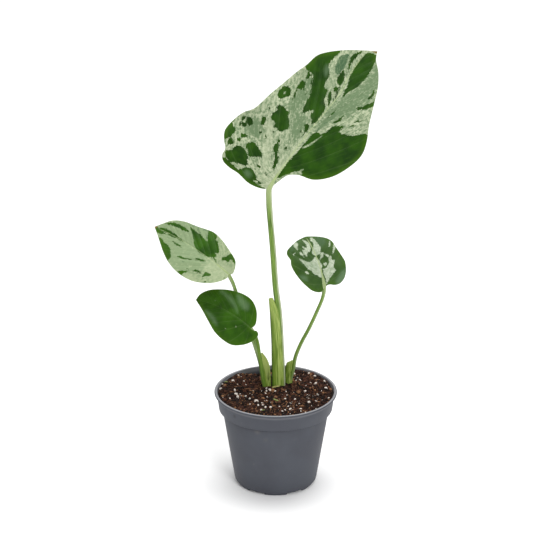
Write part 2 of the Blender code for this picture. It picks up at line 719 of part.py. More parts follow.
def make_blade(leaf, grow=0.0, material=None):
    """One leaf blade, or the room that it takes when grown."""
    flat, triangles = blade_sheet(leaf, grow)
    front = []
    back = []
    for p, q in flat:
        height = blade_height(leaf, p, q)
        depth = BLADE_THICKNESS + rib_depth(leaf, p, q)
        front.append(leaf_to_world(leaf, p, q, height + grow))
        back.append(leaf_to_world(leaf, p, q, height - depth - grow))
    count = len(front)
    faces = list(triangles)
    faces += [[count + corner for corner in reversed(triangle)] for triangle in triangles]
    for start, end in sorted(open_edges(triangles)):
        faces.append((start, count + start, count + end))
        faces.append((start, count + end, end))
    return make_object(leaf.name + "_blade", front + back, faces, material)


def make_stalk_body(stalk, leaf, grow=0.0, material=None):
    """A stalk's tube with its sheath, before it is cut at the blade."""
    seat = leaf_to_world(leaf, *stalk.seat)
    path = spline((stalk.foot,) + stalk.route + (tuple(seat),), STALK_RINGS)
    share = np.linspace(0.0, 1.0, STALK_RINGS)
    radii = stalk.radius + (stalk.tip_radius - stalk.radius) * share + grow
    rings = rings_along(path, radii, radii, STALK_SIDES)
    rings[0] = [(x, y, stalk.foot[2] - grow) for x, y, z in rings[0]]
    body = loft(stalk.name + "_petiole", rings, material)
    sheath = np.array(stalk.sheath, float)
    fine = spline(sheath, 2 * len(sheath))
    widths = fine[:, 3] + grow
    depths = fine[:, 4] + grow
    rings = rings_along(fine[:, :3], widths, depths, SHEATH_SIDES)
    combine(body, loft("sheath", rings), "UNION")
    return body


def make_leaf(leaf, stalk):
    """A blade, and its stalk cut clear of it."""
    blade_material = make_material(leaf.name + "_skin", leaf.colour, 0.35)
    stalk_material = make_material(stalk.name + "_stalk", STALK_COLOUR, 0.4)
    blade = make_blade(leaf, material=blade_material)
    shade(blade, 60.0)
    petiole = make_stalk_body(stalk, leaf, material=stalk_material)
    combine(petiole, make_blade(leaf, grow=FIT_GAP), "DIFFERENCE")
    keep_largest_part(petiole)
    shade(petiole, 50.0)
    return blade, petiole


def make_leaf_scale(grow=0.0, material=None):
    path = spline(SCALE_ROUTE, SCALE_RINGS)
    taper = np.sqrt(np.sin(np.linspace(SCALE_ENDS, math.pi - SCALE_ENDS, SCALE_RINGS)))
    widths = SCALE_HALF_DEPTH * taper + grow
    depths = SCALE_HALF_WIDTH * np.ones(SCALE_RINGS) + grow
    rings = rings_along(path, widths, depths, SCALE_SIDES, across=(0.0, 0.0, 1.0))
    return loft("leaf_scale", rings, material)


def cut_stalk_holes(soil):
    """Plain holes for what stands in the soil, a little wider than what fills them."""
    room = make_root_stem("room", FIT_GAP)
    for leaf, stalk in zip(LEAVES, STALKS):
        combine(room, make_stalk_body(stalk, leaf, grow=FIT_GAP), "UNION")
    combine(room, make_leaf_scale(grow=FIT_GAP), "UNION")
    combine(soil, room, "DIFFERENCE")
    keep_largest_part(soil)
    shade(soil, 60.0)


def main():
    clear_scene()
    make_pot()
    soil = make_soil()
    make_root_stem("root_stem", 0.0, make_material("root_stem", STEM_COLOUR, 0.7))
    for leaf, stalk in zip(LEAVES, STALKS):
        make_leaf(leaf, stalk)
    make_leaf_scale(material=make_material("leaf_scale", SCALE_COLOUR, 0.6))
    cut_stalk_holes(soil)


main()
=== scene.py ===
"""The looks of the potted monstera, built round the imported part.

Sizes are in millimetres unless a name says otherwise, and meshes are written in metres. Outlines,
routes and formulas of the leaves, stalks and soil are those of the part's source, so each finer
piece keeps the form of the solid that it replaces.
"""
import math
from collections import namedtuple

import bmesh
import bpy
import numpy as np
from mathutils import Matrix, Vector, noise
from mathutils.geometry import delaunay_2d_cdt


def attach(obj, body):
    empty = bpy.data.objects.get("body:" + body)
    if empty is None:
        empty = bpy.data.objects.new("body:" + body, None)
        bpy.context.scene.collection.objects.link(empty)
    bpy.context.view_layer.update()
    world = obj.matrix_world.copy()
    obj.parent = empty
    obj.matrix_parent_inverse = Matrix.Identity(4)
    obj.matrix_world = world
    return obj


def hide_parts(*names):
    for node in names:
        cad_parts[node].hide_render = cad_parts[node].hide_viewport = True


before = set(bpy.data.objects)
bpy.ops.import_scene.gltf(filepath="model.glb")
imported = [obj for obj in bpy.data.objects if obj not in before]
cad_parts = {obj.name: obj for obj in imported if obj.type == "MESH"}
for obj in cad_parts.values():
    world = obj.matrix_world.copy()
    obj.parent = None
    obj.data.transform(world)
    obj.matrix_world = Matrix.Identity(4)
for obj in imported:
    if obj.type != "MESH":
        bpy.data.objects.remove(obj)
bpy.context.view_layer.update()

MM = 0.001
TAU = 2.0 * math.pi

# Leaf forms, as in the part's source. The p axis runs along the leaf's chord from the stalk, the
# q axis to its left seen from the face, and the h axis out of the face. Angles are in degrees.
# rib_line: (p, q) of the midrib's groove off the fold's own line.
Leaf = namedtuple("Leaf", "name junction azimuth elevation roll length half_width bow fold cup "
                  "arch waves rib vein_gap rib_line left_margin right_margin")

# A stalk is a tube through route that runs on under its leaf's face along the midrib. seat:
# a (p, q, h) place in its leaf's frame. Its sheath clasps the foot: (x, y, z, half width,
# half depth). rim: (turn, z) of the sheath's edge.
Stalk = namedtuple("Stalk", "radius tip_radius foot route seat sheath rim pale_side")

TALL = Leaf(
    name="tall_leaf", junction=(-7.0, -2.0, 307.0), azimuth=28.0, elevation=47.0, roll=43.0,
    length=168.0, half_width=60.0, bow=0.0, fold=0.18, cup=0.10, arch=0.10,
    waves=((1, 2.2, 3.0, 0.1), (-1, 1.8, 2.5, 0.6)), rib=2.4, vein_gap=13.0,
    rib_line=((0, 0), (15, 1.4), (30, 2), (50, 2.7), (70, 2.6), (90, 2.4), (105, 1.8), (115, 2.5),
              (125, 4.5), (135, 6.5), (150, 7.6), (160, 7.6), (164, 5.5), (168, 1.5)),
    left_margin=((0, 0), (-4, 6), (-7, 18), (-5.5, 32), (-6, 42), (-4.5, 51), (0, 55), (6, 56),
                 (12, 62), (20, 67.5), (32, 68), (44, 64.5), (54, 57.5), (80, 53), (104, 48),
                 (117, 44), (130, 42), (138, 37), (150, 25), (162, 9), (168, 0)),
    right_margin=((0, 0), (10, -3), (21, -7), (27, -15), (32, -30), (45, -43), (62, -50),
                  (78, -52), (91, -48), (105, -40), (124, -31), (140, -23), (152, -14),
                  (161, -4), (168, 0)))

LEFT = Leaf(
    name="left_leaf", junction=(-46.0, 24.0, 209.0), azimuth=141.0, elevation=18.0, roll=-34.0,
    length=103.0, half_width=30.0, bow=-3.0, fold=0.20, cup=0.15, arch=0.12,
    waves=((1, 1.2, 2.0, 0.2), (-1, 1.2, 2.0, 0.7)), rib=1.5, vein_gap=9.0,
    rib_line=((0, 0), (50, 0.4), (80, 0), (103, 0)),
    left_margin=((0, 0), (-2, 4), (0, 10), (6, 18), (18, 25), (32, 28), (46, 28), (58, 25),
                 (71, 19), (86, 10), (96, 4), (103, 0)),
    right_margin=((0, 0), (-3, -3), (-1, -9), (4, -15), (16, -20), (32, -25), (46, -27),
                  (64, -23), (80, -20), (91, -15), (98, -7), (103, 0)))

GREEN = Leaf(
    name="green_leaf", junction=(-24.0, -9.0, 166.0), azimuth=153.0, elevation=19.0, roll=-49.0,
    length=67.0, half_width=26.0, bow=-4.0, fold=0.20, cup=0.20, arch=0.22,
    waves=((1, 0.9, 1.5, 0.3), (-1, 0.7, 1.5, 0.0)), rib=1.3, vein_gap=8.0,
    rib_line=((0, 0), (67, 0)),
    left_margin=((0, 0), (-3, 0.5), (-6, -0.5), (-9, 1), (-10, 6), (-7, 12.5), (-2, 18), (7, 23),
                 (18, 23), (30, 20), (42, 13.5), (55, 6), (67, 0)),
    right_margin=((0, 0), (-2, -5), (0, -11), (5, -18.5), (14, -24.5), (25, -26), (38, -24),
                  (50, -19.5), (60, -14), (66, -7), (67, 0)))

RIGHT = Leaf(
    name="right_leaf", junction=(47.0, 6.0, 203.0), azimuth=115.0, elevation=46.0, roll=-16.0,
    length=59.0, half_width=30.0, bow=-2.5, fold=0.16, cup=0.20, arch=0.22,
    waves=((1, 0.8, 1.5, 0.6), (-1, 0.8, 1.5, 0.1)), rib=1.3, vein_gap=8.0,
    rib_line=((0, 0), (59, 0)),
    left_margin=((0, 0), (-4, 4), (-3.5, 8), (0, 13), (6.5, 17), (15, 20.7), (24.5, 23.2),
                 (32, 23.7), (37.5, 22.4), (42, 23.4), (46, 23.5), (49.5, 21.5), (52.5, 17),
                 (55.5, 12), (57.5, 7), (59, 0)),
    right_margin=((0, 0), (1, -5), (-1, -10), (-1, -15), (2.5, -20.5), (7.5, -24), (14.5, -26.5),
                  (21, -27.5), (29, -26), (37.5, -24), (45, -22.5), (50, -19), (54, -13),
                  (57, -6), (59, 0)))

TALL_STALK = Stalk(
    radius=3.4, tip_radius=2.7, foot=(4.6, 13.4, 78.0),
    route=((6.1, 13.0, 92.1), (4.8, 11.5, 140.2), (2.9, 10.0, 174.9), (-0.1, 8.5, 200.8),
           (-3.0, 5.0, 243.9), (-5.7, 1.5, 278.2), (-6.6, 0.2, 294.0)),
    seat=(3.0, 0.0, -3.2),
    sheath=((2.2, 10.0, 84.0, 5.6, 3.0), (2.3, 9.8, 96.0, 5.8, 3.5), (1.9, 9.5, 117.5, 5.8, 3.7),
            (1.2, 8.5, 141.6, 5.4, 3.6), (-0.4, 7.7, 163.0, 4.7, 3.3),
            (-1.7, 7.2, 177.0, 4.0, 2.8), (-3.3, 7.0, 185.0, 2.9, 2.2),
            (-4.6, 6.8, 190.8, 1.9, 1.4)),
    rim=((-240, 168), (-200, 190), (-180, 190), (-150, 188), (-128, 184), (-105, 180), (-80, 176),
         (-55, 171), (-25, 165)),
    pale_side=-10)

LEFT_STALK = Stalk(
    radius=2.1, tip_radius=1.7, foot=(-5.2, 17.6, 78.0),
    route=((-11.2, 17.0, 93.1), (-13.4, 17.2, 108.1), (-16.1, 17.4, 120.6), (-20.9, 18.4, 137.2),
           (-25.1, 21.4, 149.0), (-32.0, 26.0, 169.9), (-37.8, 27.2, 185.6), (-42.0, 25.6, 199.5)),
    seat=(2.0, 0.0, -2.5),
    sheath=((-9.6, 18.6, 84.0, 2.6, 1.8), (-10.6, 18.8, 96.0, 3.2, 1.9),
            (-12.4, 18.8, 108.0, 3.2, 1.8), (-14.6, 18.6, 118.0, 2.4, 1.6),
            (-16.4, 18.3, 123.0, 1.1, 1.1)),
    rim=((-270, 122), (-180, 121), (-90, 118), (0, 112), (90, 122)),
    pale_side=-120)

GREEN_STALK = Stalk(
    radius=2.2, tip_radius=1.8, foot=(-5.6, 11.4, 78.0),
    route=((-10.3, 10.0, 93.5), (-12.9, 8.5, 108.3), (-14.9, 6.0, 123.4), (-16.5, 3.0, 135.5),
           (-17.6, 0.0, 145.4), (-20.0, -4.2, 156.0)),
    seat=(1.0, 0.0, -1.3),
    sheath=((-8.2, 10.2, 84.0, 3.6, 2.2), (-8.5, 10.0, 94.0, 3.8, 2.3),
            (-8.8, 9.5, 104.6, 3.9, 2.0), (-9.6, 9.0, 113.4, 3.8, 1.7),
            (-10.6, 8.0, 122.5, 3.3, 1.5), (-12.2, 6.8, 130.0, 2.1, 1.3),
            (-13.8, 6.0, 134.6, 0.9, 0.9)),
    rim=((-270, 133), (-180, 131), (-135, 125), (-105, 115), (-75, 105), (-60, 102), (-40, 108),
         (0, 117), (45, 127), (90, 133)),
    pale_side=150)

RIGHT_STALK = Stalk(
    radius=2.1, tip_radius=1.7, foot=(9.0, 17.2, 78.0),
    route=((13.7, 19.6, 94.0), (15.3, 19.0, 102.2), (17.3, 17.6, 111.0), (19.3, 16.0, 124.0),
           (24.4, 14.0, 139.1), (32.6, 12.0, 157.1), (39.7, 10.0, 174.9), (45.4, 8.4, 191.0)),
    seat=(2.0, 0.0, -2.5),
    sheath=((12.4, 19.4, 84.0, 2.6, 1.7), (12.8, 19.2, 94.6, 3.5, 1.7),
            (13.0, 18.6, 104.6, 3.9, 1.6), (13.7, 17.6, 113.5, 3.8, 1.5),
            (14.8, 16.8, 119.0, 2.8, 1.3), (15.8, 16.4, 122.4, 1.5, 1.0)),
    rim=((-270, 119), (-180, 117), (-135, 119), (-90, 121), (0, 121), (90, 119)),
    pale_side=-30)

# A leaf's finish: its ground, the light and dark shades of its pale and its green tissue, how
# strong its midrib and side veins show, and the midrib's width
Look = namedtuple("Look", "ground cream mint light dark rib rib_width veins")
LOOKS = {
    "tall_leaf": Look("pale", (170, 178, 148), (98, 118, 86), (36, 70, 12), (22, 49, 12),
                      0.60, 1.4, 0.03),
    "left_leaf": Look("pale", (156, 167, 132), (122, 140, 104), (46, 84, 16), (28, 60, 12),
                      0.45, 1.0, 0.05),
    "green_leaf": Look("green", (170, 178, 148), (96, 116, 84), (46, 83, 14), (30, 60, 10),
                       0.05, 0.8, 0.04),
    "right_leaf": Look("green", (188, 196, 176), (146, 160, 134), (62, 88, 44), (46, 72, 32),
                       0.80, 1.7, 0.04),
}

# Blades
FINE_STEP = 1.25            # size of a blade's triangles
BLADE_THICKNESS = 0.6
MARGIN_THICKNESS = 0.22
FOLD_SOFTNESS = 4.0         # how wide the fold along the midrib is rounded

# Markings: outlines in a leaf's (p, q). A leaf's ground is pale or green, and green, grey
# and pale patches lie on it. Mint, light and sheen patches have wide soft edges.
MARKS = {
    "tall_leaf": {
        "green": (
            ((0, 50), (2, 54), (6, 54), (9, 50), (14, 50), (17, 45), (16, 39), (13, 34), (10, 32),
             (6, 29), (3, 34), (1, 40), (-1, 45)),
            ((-2, 55), (-1, 47), (-2, 40), (-2, 33), (2, 31), (5, 27), (5, 22), (3, 18), (0, 13),
             (-2, 16), (-3, 11), (-2, 6), (-2, 2), (-9, 0), (-14, 20), (-12, 50)),
            ((14, 34), (17, 38), (20, 42), (24, 42), (27, 38), (26, 32), (23, 26), (20, 23),
             (18, 27), (15, 30)),
            ((14, 61), (14, 66), (19, 71), (30, 70), (28, 63), (26, 59), (20, 59)),
            ((11, 57), (14, 59), (18, 59), (16, 53), (13, 53)),
            ((19, 50), (20, 54), (23, 51), (27, 53), (29, 48), (27, 46), (25, 49), (21, 49)),
            ((33, 56), (34, 59), (37, 59), (37, 55), (35, 54)),
            ((37, 52), (39, 57), (43, 58), (45, 55), (41, 50), (38, 51)),
            ((38, 61), (40, 63), (43, 60), (40, 59)),
            ((45, 41), (45, 43), (50, 46), (53, 45), (52, 42), (48, 41)),
            ((37, 39), (39, 41), (40, 39), (38, 37)),
            ((36, 31), (39, 34), (39, 32), (37, 31)),
            ((61, 46), (62, 47.5), (63, 46), (62, 45)),
            ((10, 22), (12, 22), (13, 19), (11, 18)),
            ((39, 9), (40, 11.5), (42.5, 11.5), (41.5, 9)),
            ((41, 20), (42, 21.5), (43.5, 20), (42, 17.5)),
            ((45, 28.5), (45.6, 31), (46.8, 30), (46.2, 28.6)),
            ((8, 9), (10, 12), (11, 11.4), (9, 9)),
            ((-2, 10), (0, 14), (1, 12), (-0.5, 8)),
            ((92, 27.4), (96, 28.8), (98, 28.4), (94, 27.2)),
            ((102, 27.5), (104, 30), (108, 31), (106, 29)),
            ((95, 31), (98, 33.5), (100, 33), (97, 31)),
            ((60, 8), (62, 9.4), (64, 9), (62, 7.6)),
            ((31, 58), (33, 61), (36, 62.5), (35, 60.5)),
            ((30, 66), (36, 67), (44, 65), (36, 69.5)),
            ((49, 32), (54, 33), (55, 38), (59, 41), (64, 39), (69, 42), (71, 36), (70, 29),
             (66, 27), (62, 22), (58, 20), (53, 22), (49, 26), (51, 29)),
            ((17, 7.5), (24, 12), (30, 16), (34, 20), (37, 21), (41, 20), (39, 17), (34, 15),
             (30, 11), (25, 8)),
            ((75, 45), (77, 48), (81, 50), (87, 49), (90, 45), (88, 41), (84, 38), (80, 40),
             (76, 43)),
            ((80, 33), (86, 36), (94, 38), (103, 38), (101, 33), (95, 33), (93, 36), (86, 34)),
            ((106, 37), (113, 39), (111, 34), (106, 35)),
            ((116, 46), (140, 48), (156, 28), (147, 27), (140, 28), (132, 28), (126, 25),
             (122, 21), (110, 18), (109, 13), (104, 12), (98, 9), (95, 5), (86, 3), (76, 3),
             (74, 6), (77, 8), (80, 11), (84, 14), (80, 16), (77, 18), (80, 20), (86, 22),
             (92, 23), (98, 25), (105, 29), (112, 33), (113, 38)),
            ((58, 5), (65, 6.5), (69, 10), (72, 9), (71, 5.5), (66, 4.5)),
            ((97, 4), (104, 9), (110, 11), (109, 8), (101, 4)),
            ((111, 8), (114, 10.5), (118, 8), (115, 6)),
            ((103, 2.5), (110, 5), (119, 7.5), (118, 5.5), (110, 3)),
            ((119, 7), (121, 12), (127, 14), (134, 13.5), (130, 9), (124, 6.5)),
            ((131, 8), (138, 11.5), (148, 16), (154, 15), (160, 10.5), (150, 12), (142, 11)),
            ((12, 0.5), (30, 0.8), (48, -0.5), (62, -1), (71, -3), (71, -7.5), (76, -11),
             (83, -12), (88, -17), (90, -21), (83, -21), (84, -26), (87, -33), (93, -39),
             (97, -44), (92, -56), (60, -60), (38, -50), (25, -24), (30, -14), (24, -8), (15, -2)),
            ((112, -2), (118, 0.5), (124, 1.5), (132, 5), (142, 7), (152, 8), (162, 6), (164, -3),
             (154, -6), (146, -8), (138, -8), (128, -7), (120, -4)),
            ((87, -10.5), (92, -12), (98, -14.5), (92, -15), (88, -13)),
            ((110, -21), (112, -20), (117, -24), (122, -27), (129, -31), (121, -31.5), (116, -28),
             (111, -23)),
            ((124, -22), (128, -23), (136, -21.5), (133, -24.5), (127, -25.5)),
            ((93, -25.5), (96, -27), (98, -30), (95, -29)),
            ((98, -26), (102, -28), (104, -32), (101, -30)),
            ((88, -3), (98, -4.5), (96, -5.5), (90, -4.5)),
        ),
        "pale": (
            ((50, -2.6), (58, -7), (70, -10), (70, -9.3), (60, -6), (52, -2)),
            ((27, -10), (29, -12), (31, -15), (30.5, -18), (28.6, -16)),
            ((31.5, -13.5), (34.5, -15.5), (33.5, -16.2), (31.5, -14.5)),
            ((-1, 0.4), (10, -1.6), (20, -4.6), (21, -7), (9, -3.5), (-2, -2)),
            ((82, 11.5), (84, 13), (86, 12), (84, 11)),
            ((81, 43.5), (82.5, 45), (84, 44), (82.5, 43)),
        ),
        # Grey patches: grey-green tissue, and the one at the base on the left a painted highlight
        "grey": (
            ((126, 15), (129, 20), (136, 23), (143, 24.5), (150, 19), (142, 16), (134, 14)),
            ((119, 23), (122, 26), (126, 26), (124, 22)),
            ((-6, 20), (-4, 31), (2, 31), (5, 27), (5, 21), (0, 19)),
            ((70, -1.5), (84, -3), (98, -6), (92, -9), (80, -5), (70, -3.5)),
        ),
        "mint": (
            ((72, -1), (100, -1), (116, -4), (130, -9), (150, -9), (156, -8), (150, -18),
             (135, -24), (105, -20), (92, -10)),
            ((50, 10), (60, 18), (74, 24), (76, 14), (70, 9), (58, 8)),
            ((92, 24), (108, 32), (104, 36), (74, 32), (74, 24)),
            ((30, 40), (36, 56), (48, 52), (44, 44), (36, 36)),
        ),
        "light": (
            ((-2, 4.5), (6, 6), (20, 6), (38, 4.6), (60, 3.4), (30, 1.2), (4, 0.6)),
            ((4, 5.5), (10, 10), (22, 17), (34, 24), (50, 33), (56, 41), (44, 36), (28, 27),
             (12, 17), (2, 9)),
        ),
        # Painted highlight: light reflected off the face, painted in
        "painted_sheen": (
            ((-3, 24), (-1, 28), (2, 27), (2, 22), (-1, 21)),
            ((119, 23), (122, 27), (128, 29), (126, 24)),
        ),
        "dried": (
            ((165, 5), (168, 3), (172, 2), (172, -3), (167, -2), (165.5, 0)),
        ),
    },
    "left_leaf": {
        "green": (
            ((23, -8), (27, -4), (33, -2), (40, -1.5), (47, -3), (52, -6), (58, -11), (64, -15),
             (70, -19), (60, -18), (50, -17), (42, -15), (46, -20), (50, -26), (41, -30),
             (36, -22), (32, -20), (28, -17), (23, -12), (27, -10)),
            ((18, -2.3), (22, -3.6), (26, -5), (25, -6), (21, -4.6)),
            ((2, -12), (8, -13), (9, -10), (13, -9), (16, -7), (17, -10), (14, -14), (12, -20),
             (3, -18)),
            ((12.5, 11.5), (13, 13), (16, 16), (17, 19), (19, 18), (19, 15), (20, 13), (17, 10.5)),
            ((21, 15), (24, 17), (28, 17.5), (31, 18.5), (30, 16), (25, 14.5)),
            ((34, 21), (37, 25), (39, 31), (44, 31), (42, 25), (38, 23), (36, 21)),
            ((35, 19.5), (38, 20.5), (38, 19.4)),
            ((40, 9.2), (44, 11.5), (49, 14), (55, 15), (54, 13.2), (48, 11.7), (43, 9.6)),
            ((27.5, 2), (31, 5.2), (35, 6.5), (39, 8), (37, 4.8), (33, 2.8)),
            ((60, 19), (61, 26), (72, 24), (89, 10), (87, 6.5), (80, 9), (73, 10), (68, 12),
             (64, 16)),
            ((60, 3.8), (64, 5.4), (68, 5), (73, 3.5), (68, 2.8)),
            ((85, 0.6), (90, 3), (97, 4), (104, 1), (99, -1.5), (92, -0.4)),
            ((62, -2.4), (68, -1.0), (74, -1.2), (79, 0.2), (85, -0.6), (97, -0.4), (94, -3.6),
             (84, -5.0), (76, -4.4), (68, -3.4)),
            ((66, -13.8), (72, -11.6), (79, -11.6), (88, -10.0), (96, -8.4), (89, -13.4),
             (80, -15.2), (72, -15.2)),
            ((-1, 5.6), (0, 7), (1, 6.4), (0.4, 5.2)),
            ((11, 20), (12, 21.6), (13, 21), (12, 19.6)),
        ),
        "dried": (
            ((98, 4.5), (101, 3), (103, 1.4), (106, 0), (104, -3), (100, -1.4), (101, 1.2)),
        ),
        "light": (
            ((0, -6), (-4, 0), (0, 8), (8, 14), (20, 12), (26, 4), (20, -1), (10, -6)),
            ((24, 21), (30, 24), (36, 27), (30, 29), (20, 26)),
        ),
        "grey": (
            ((53, -4), (58, -5), (61, -8.4), (57, -7.4)),
            ((43, -16), (60, -19), (74, -20), (60, -25), (48, -25)),
            ((74, 1.6), (80, 1.4), (85, 3.4), (79, 3)),
            ((58, 6.6), (64, 7.8), (70, 6.6), (64, 6)),
            ((46, 2), (49, 3.4), (50, 2.4)),
            ((38, 12), (44, 17), (50, 17), (44, 13)),
        ),
        "mint": (
            ((34, -14), (30, 2), (26, 12), (34, 22), (48, 28), (62, 22), (86, 8), (100, 2),
             (96, -8), (78, -20), (50, -26)),
        ),
    },
    "green_leaf": {
        "pale": (
            ((13, 5.6), (13.6, 6.4), (14.2, 4.8)),
            ((21.5, 12), (22.2, 12.6), (22.6, 11.8)),
            ((46.5, -7.6), (47.4, -7), (47.8, -7.8)),
        ),
        # Painted highlight: light reflected off the face, painted in
        "painted_sheen": (
            ((12, -14), (18, -13), (26, -17), (30, -23), (22, -22), (14, -19)),
            ((20, -7), (28, -11.5), (40, -16), (48, -17.5), (46, -20), (34, -17.5), (24, -12)),
            ((32, 13), (38, 11.5), (46, 8), (51, 5.5), (48, 5), (38, 8)),
        ),
    },
    "right_leaf": {
        "pale": (
            ((2, -2.5), (6.5, -7), (10.5, -12), (13, -16), (16.5, -14.5), (20.5, -16), (24, -18),
             (25, -14), (21.5, -11), (18.5, -7), (18, -4), (12.5, -3.5), (7, -3.5)),
            ((10, 0), (13.5, 3.5), (15.5, 6), (19.5, 7), (22.5, 10), (28, 12), (35.5, 14),
             (33.5, 11), (30, 8), (29, 5), (31, 1.5), (33.5, -1), (28, -3.5), (22, -4.5),
             (16.5, -2.5)),
            ((17, 10.5), (18, 13), (21, 13.5), (20, 11)),
            ((20.5, -7.5), (23, -10), (24.5, -7.5), (22.5, -6)),
            ((28.5, -13.5), (31.5, -14), (33.5, -11.5), (30.5, -11.5)),
            ((18.5, -11.5), (24, -12), (29.5, -14), (29, -16.5), (23, -14.5)),
            ((28.5, -4.5), (32.5, -6), (36.5, -8.5), (34.5, -10.5), (31, -8)),
            ((34.5, -1.5), (38, 0.5), (41, -1), (44, -3), (50, -4.5), (53, -2), (53, -5.5),
             (49, -8), (45, -9), (42, -9.5), (38, -8), (35, -6.5)),
            ((36, 6), (37.5, 7.5), (40.5, 8.5), (44, 8), (44.5, 4.5), (48.5, 2.5), (56, 4.5),
             (52, 0), (46, -0.5), (40.5, 1.5), (40, 4.5)),
            ((35, 9.5), (38.5, 10), (39.5, 12), (43.5, 11.5), (42.5, 10), (39, 9)),
            ((45, 12), (50, 14.5), (55.5, 14), (53.5, 9.5), (48.5, 12)),
            ((30.5, -18), (32.5, -18.5), (37, -20.5), (44, -24), (40, -25.5), (34, -21)),
            ((39.5, -17), (42.5, -18), (46.5, -20.5), (43, -20), (39.5, -18)),
            ((40.5, 18), (43.5, 18), (43.5, 16)),
            ((48, -8), (52, -7), (56, -5), (55, -3), (50, -5)),
            ((40, 3.5), (44, 3.6), (50, 7), (46, 6.6)),
        ),
        # Grey patches: in part a painted highlight, in part grey-green tissue
        "grey": (
            ((-0.5, -13), (2.5, -12.5), (8, -18), (14, -24), (12.5, -29), (6, -27), (-3, -20)),
            ((22, 4.5), (28, 8), (31.5, 2.5), (26, 0)),
            ((13.5, 4), (15, 0.5), (19.5, 5), (16.5, 6.5)),
            ((42, -9), (50.5, -7), (56, -9), (54, -15), (46, -16)),
            ((44.5, 20), (52, 18), (60, 11.5), (57, 5), (49, 15)),
            ((11, 14), (13.5, 18.5), (19, 20), (16.5, 15.5)),
        ),
        # Painted highlight: light reflected off the face, painted in
        "painted_sheen": (
            ((-2, -13), (3, -13), (10, -21), (9, -25), (3, -23), (-1, -18)),
            ((11, 14), (14, 18), (17, 18), (15, 14)),
            ((17, 3), (24, 9), (31, 13), (29, 6), (24, 0)),
        ),
    },
}
FAR_OUTSIDE = -50.0         # the distance given where a leaf has no patch of a kind
LEAF_GLOSS = 0.11
LEAF_GLOSS_TINT = (0.75, 1.0, 0.6, 1.0)

# Soil, as in the part's source
SEAT_GAP = 0.3
SOIL_LEVEL = 94.2
SOIL_CROWN = (97.0, 2.2)
SOIL_SEED = 7
SOIL_LUMP = 1.1
SOIL_DIP = (-17.0, 50.0, 13.0, 4.8)
SOIL_RISE = (42.0, 26.0, 24.0, 1.2)
SOIL_MOUND = (1.0, 14.0, 15.0, 2.6)
SOIL_REACH = 56.27          # how far out the soil's edge lies
SOIL_INSIDE = ((35.5, 3.6), (38.8, 7.5), (50.6, 78.0), (54.3, 80.2), (55.9, 92.5), (57.3, 95.8))

# What lies on the soil
SCATTER_SEED = 21
SMALL_CRUMBS = 4200
LARGE_CRUMBS = 1100
FIBRES = 900
PERLITE_GRAINS = 150
GREEN_BITS = 4
# The larger perlite grains: (x, y, size)
PERLITE_PLACES = (
    (-39, -7, 4.6), (-40, 1, 3.4), (-46, -9, 2.4), (-37, -13, 3.4), (-29, -11, 3.2), (-25, -7, 2.2),
    (-22, 0, 2.8), (-19, -22, 4.6), (-17, -29, 3.2), (-11, -21, 2.8), (-13, -29, 2.6),
    (-5, -36, 3.4), (-14, -43, 3.4), (-10, -35, 3.2), (6, -45, 2.8), (12, -35, 2.8),
    (14, -28, 2.8), (17, -31, 2.8), (14, -39, 3.4), (20, -31, 2.2), (24, -40, 2.8),
    (32, -25, 3.8), (31, -13, 2.2), (29, 1, 2.8), (24, 22, 3.2), (39, 16, 3.8), (49, 6, 4.4),
    (33, 40, 3.2), (39, 35, 3.2), (48, 22, 2.8), (10, -1, 2.2), (-6, 1, 3.2), (-9, 3, 2.6),
    (-54, 6, 3.2), (-54, 18, 2.2), (-42, 23, 3.2), (-37, 37, 2.2), (-31, -39, 2.2),
    (9, -41, 2.2), (-35, -4, 2.8))

# Dried leaf scale, as in the part's source
SCALE_ROUTE = ((5.2, 5.6, 94.6), (4.2, 4.9, 97.6), (1.6, 4.4, 98.5), (-2.0, 4.0, 97.7),
               (-5.2, 4.2, 96.7), (-7.4, 5.0, 94.8))

# Pot
POT_SEGMENTS = 180

# Camera, fitted to the photo, in metres and degrees
CAMERA_TARGET = (-0.009, 0.0, 0.2268)
CAMERA_DISTANCE = 2.4
CAMERA_PITCH = 22.4
CAMERA_LENS = 169.06
CAMERA_SENSOR = 36.0

# Lights, in metres and watts: name, place, aim, size, power
WORLD_STRENGTH = 0.6
LIGHTS = (
    ("top", (0.1, 0.5, 2.4), (0.0, 0.0, 0.1), 2.0, 52.0),
    ("key", (0.8, -1.9, 1.4), (0.0, 0.0, 0.2), 0.9, 24.0),
    ("fill", (-1.7, -0.9, 1.2), (0.0, 0.0, 0.2), 1.0, 3.0),
)


# Colour

def srgb(red, green, blue):
    """A colour of 0 to 255 values as the shader's linear one."""
    parts = []
    for value in (red, green, blue):
        share = value / 255.0
        parts.append(share / 12.92 if share <= 0.04045 else ((share + 0.055) / 1.055) ** 2.4)
    return (*parts, 1.0)


LEAF_LIME = srgb(58, 92, 14)
LEAF_GREY = srgb(66, 92, 64)
# Painted highlight colour for the leaves' faces
LEAF_PAINTED_SHEEN = srgb(112, 136, 104)
LEAF_RIB = srgb(164, 178, 130)
LEAF_BACK = srgb(96, 120, 68)
LEAF_DRIED = srgb(112, 96, 50)
STALK_GREEN = srgb(112, 142, 58)
STALK_DARK = srgb(66, 96, 28)
STALK_PALE = srgb(170, 180, 144)
SHEATH_GREEN = srgb(126, 152, 56)
SHEATH_DARK = srgb(90, 116, 36)
# Painted shade colour for the sheaths' left side
SHEATH_PAINTED_SHADE = srgb(50, 80, 20)
SHEATH_PALE = srgb(168, 184, 104)
SOIL_DARK = srgb(20, 12, 8)
SOIL_BROWN = srgb(76, 44, 30)
SOIL_TAN = srgb(146, 106, 74)
PERLITE_WHITE = srgb(228, 218, 208)
ROOT_BROWN = srgb(150, 118, 78)
ROOT_PALE = srgb(196, 176, 136)
POT_DARK = srgb(68, 70, 77)
POT_GREY = srgb(74, 77, 84)
POT_DUST = srgb(116, 106, 94)
# Painted highlight colour for the pot's rim and the walls' top
POT_PAINTED_HIGHLIGHT = srgb(138, 138, 142)


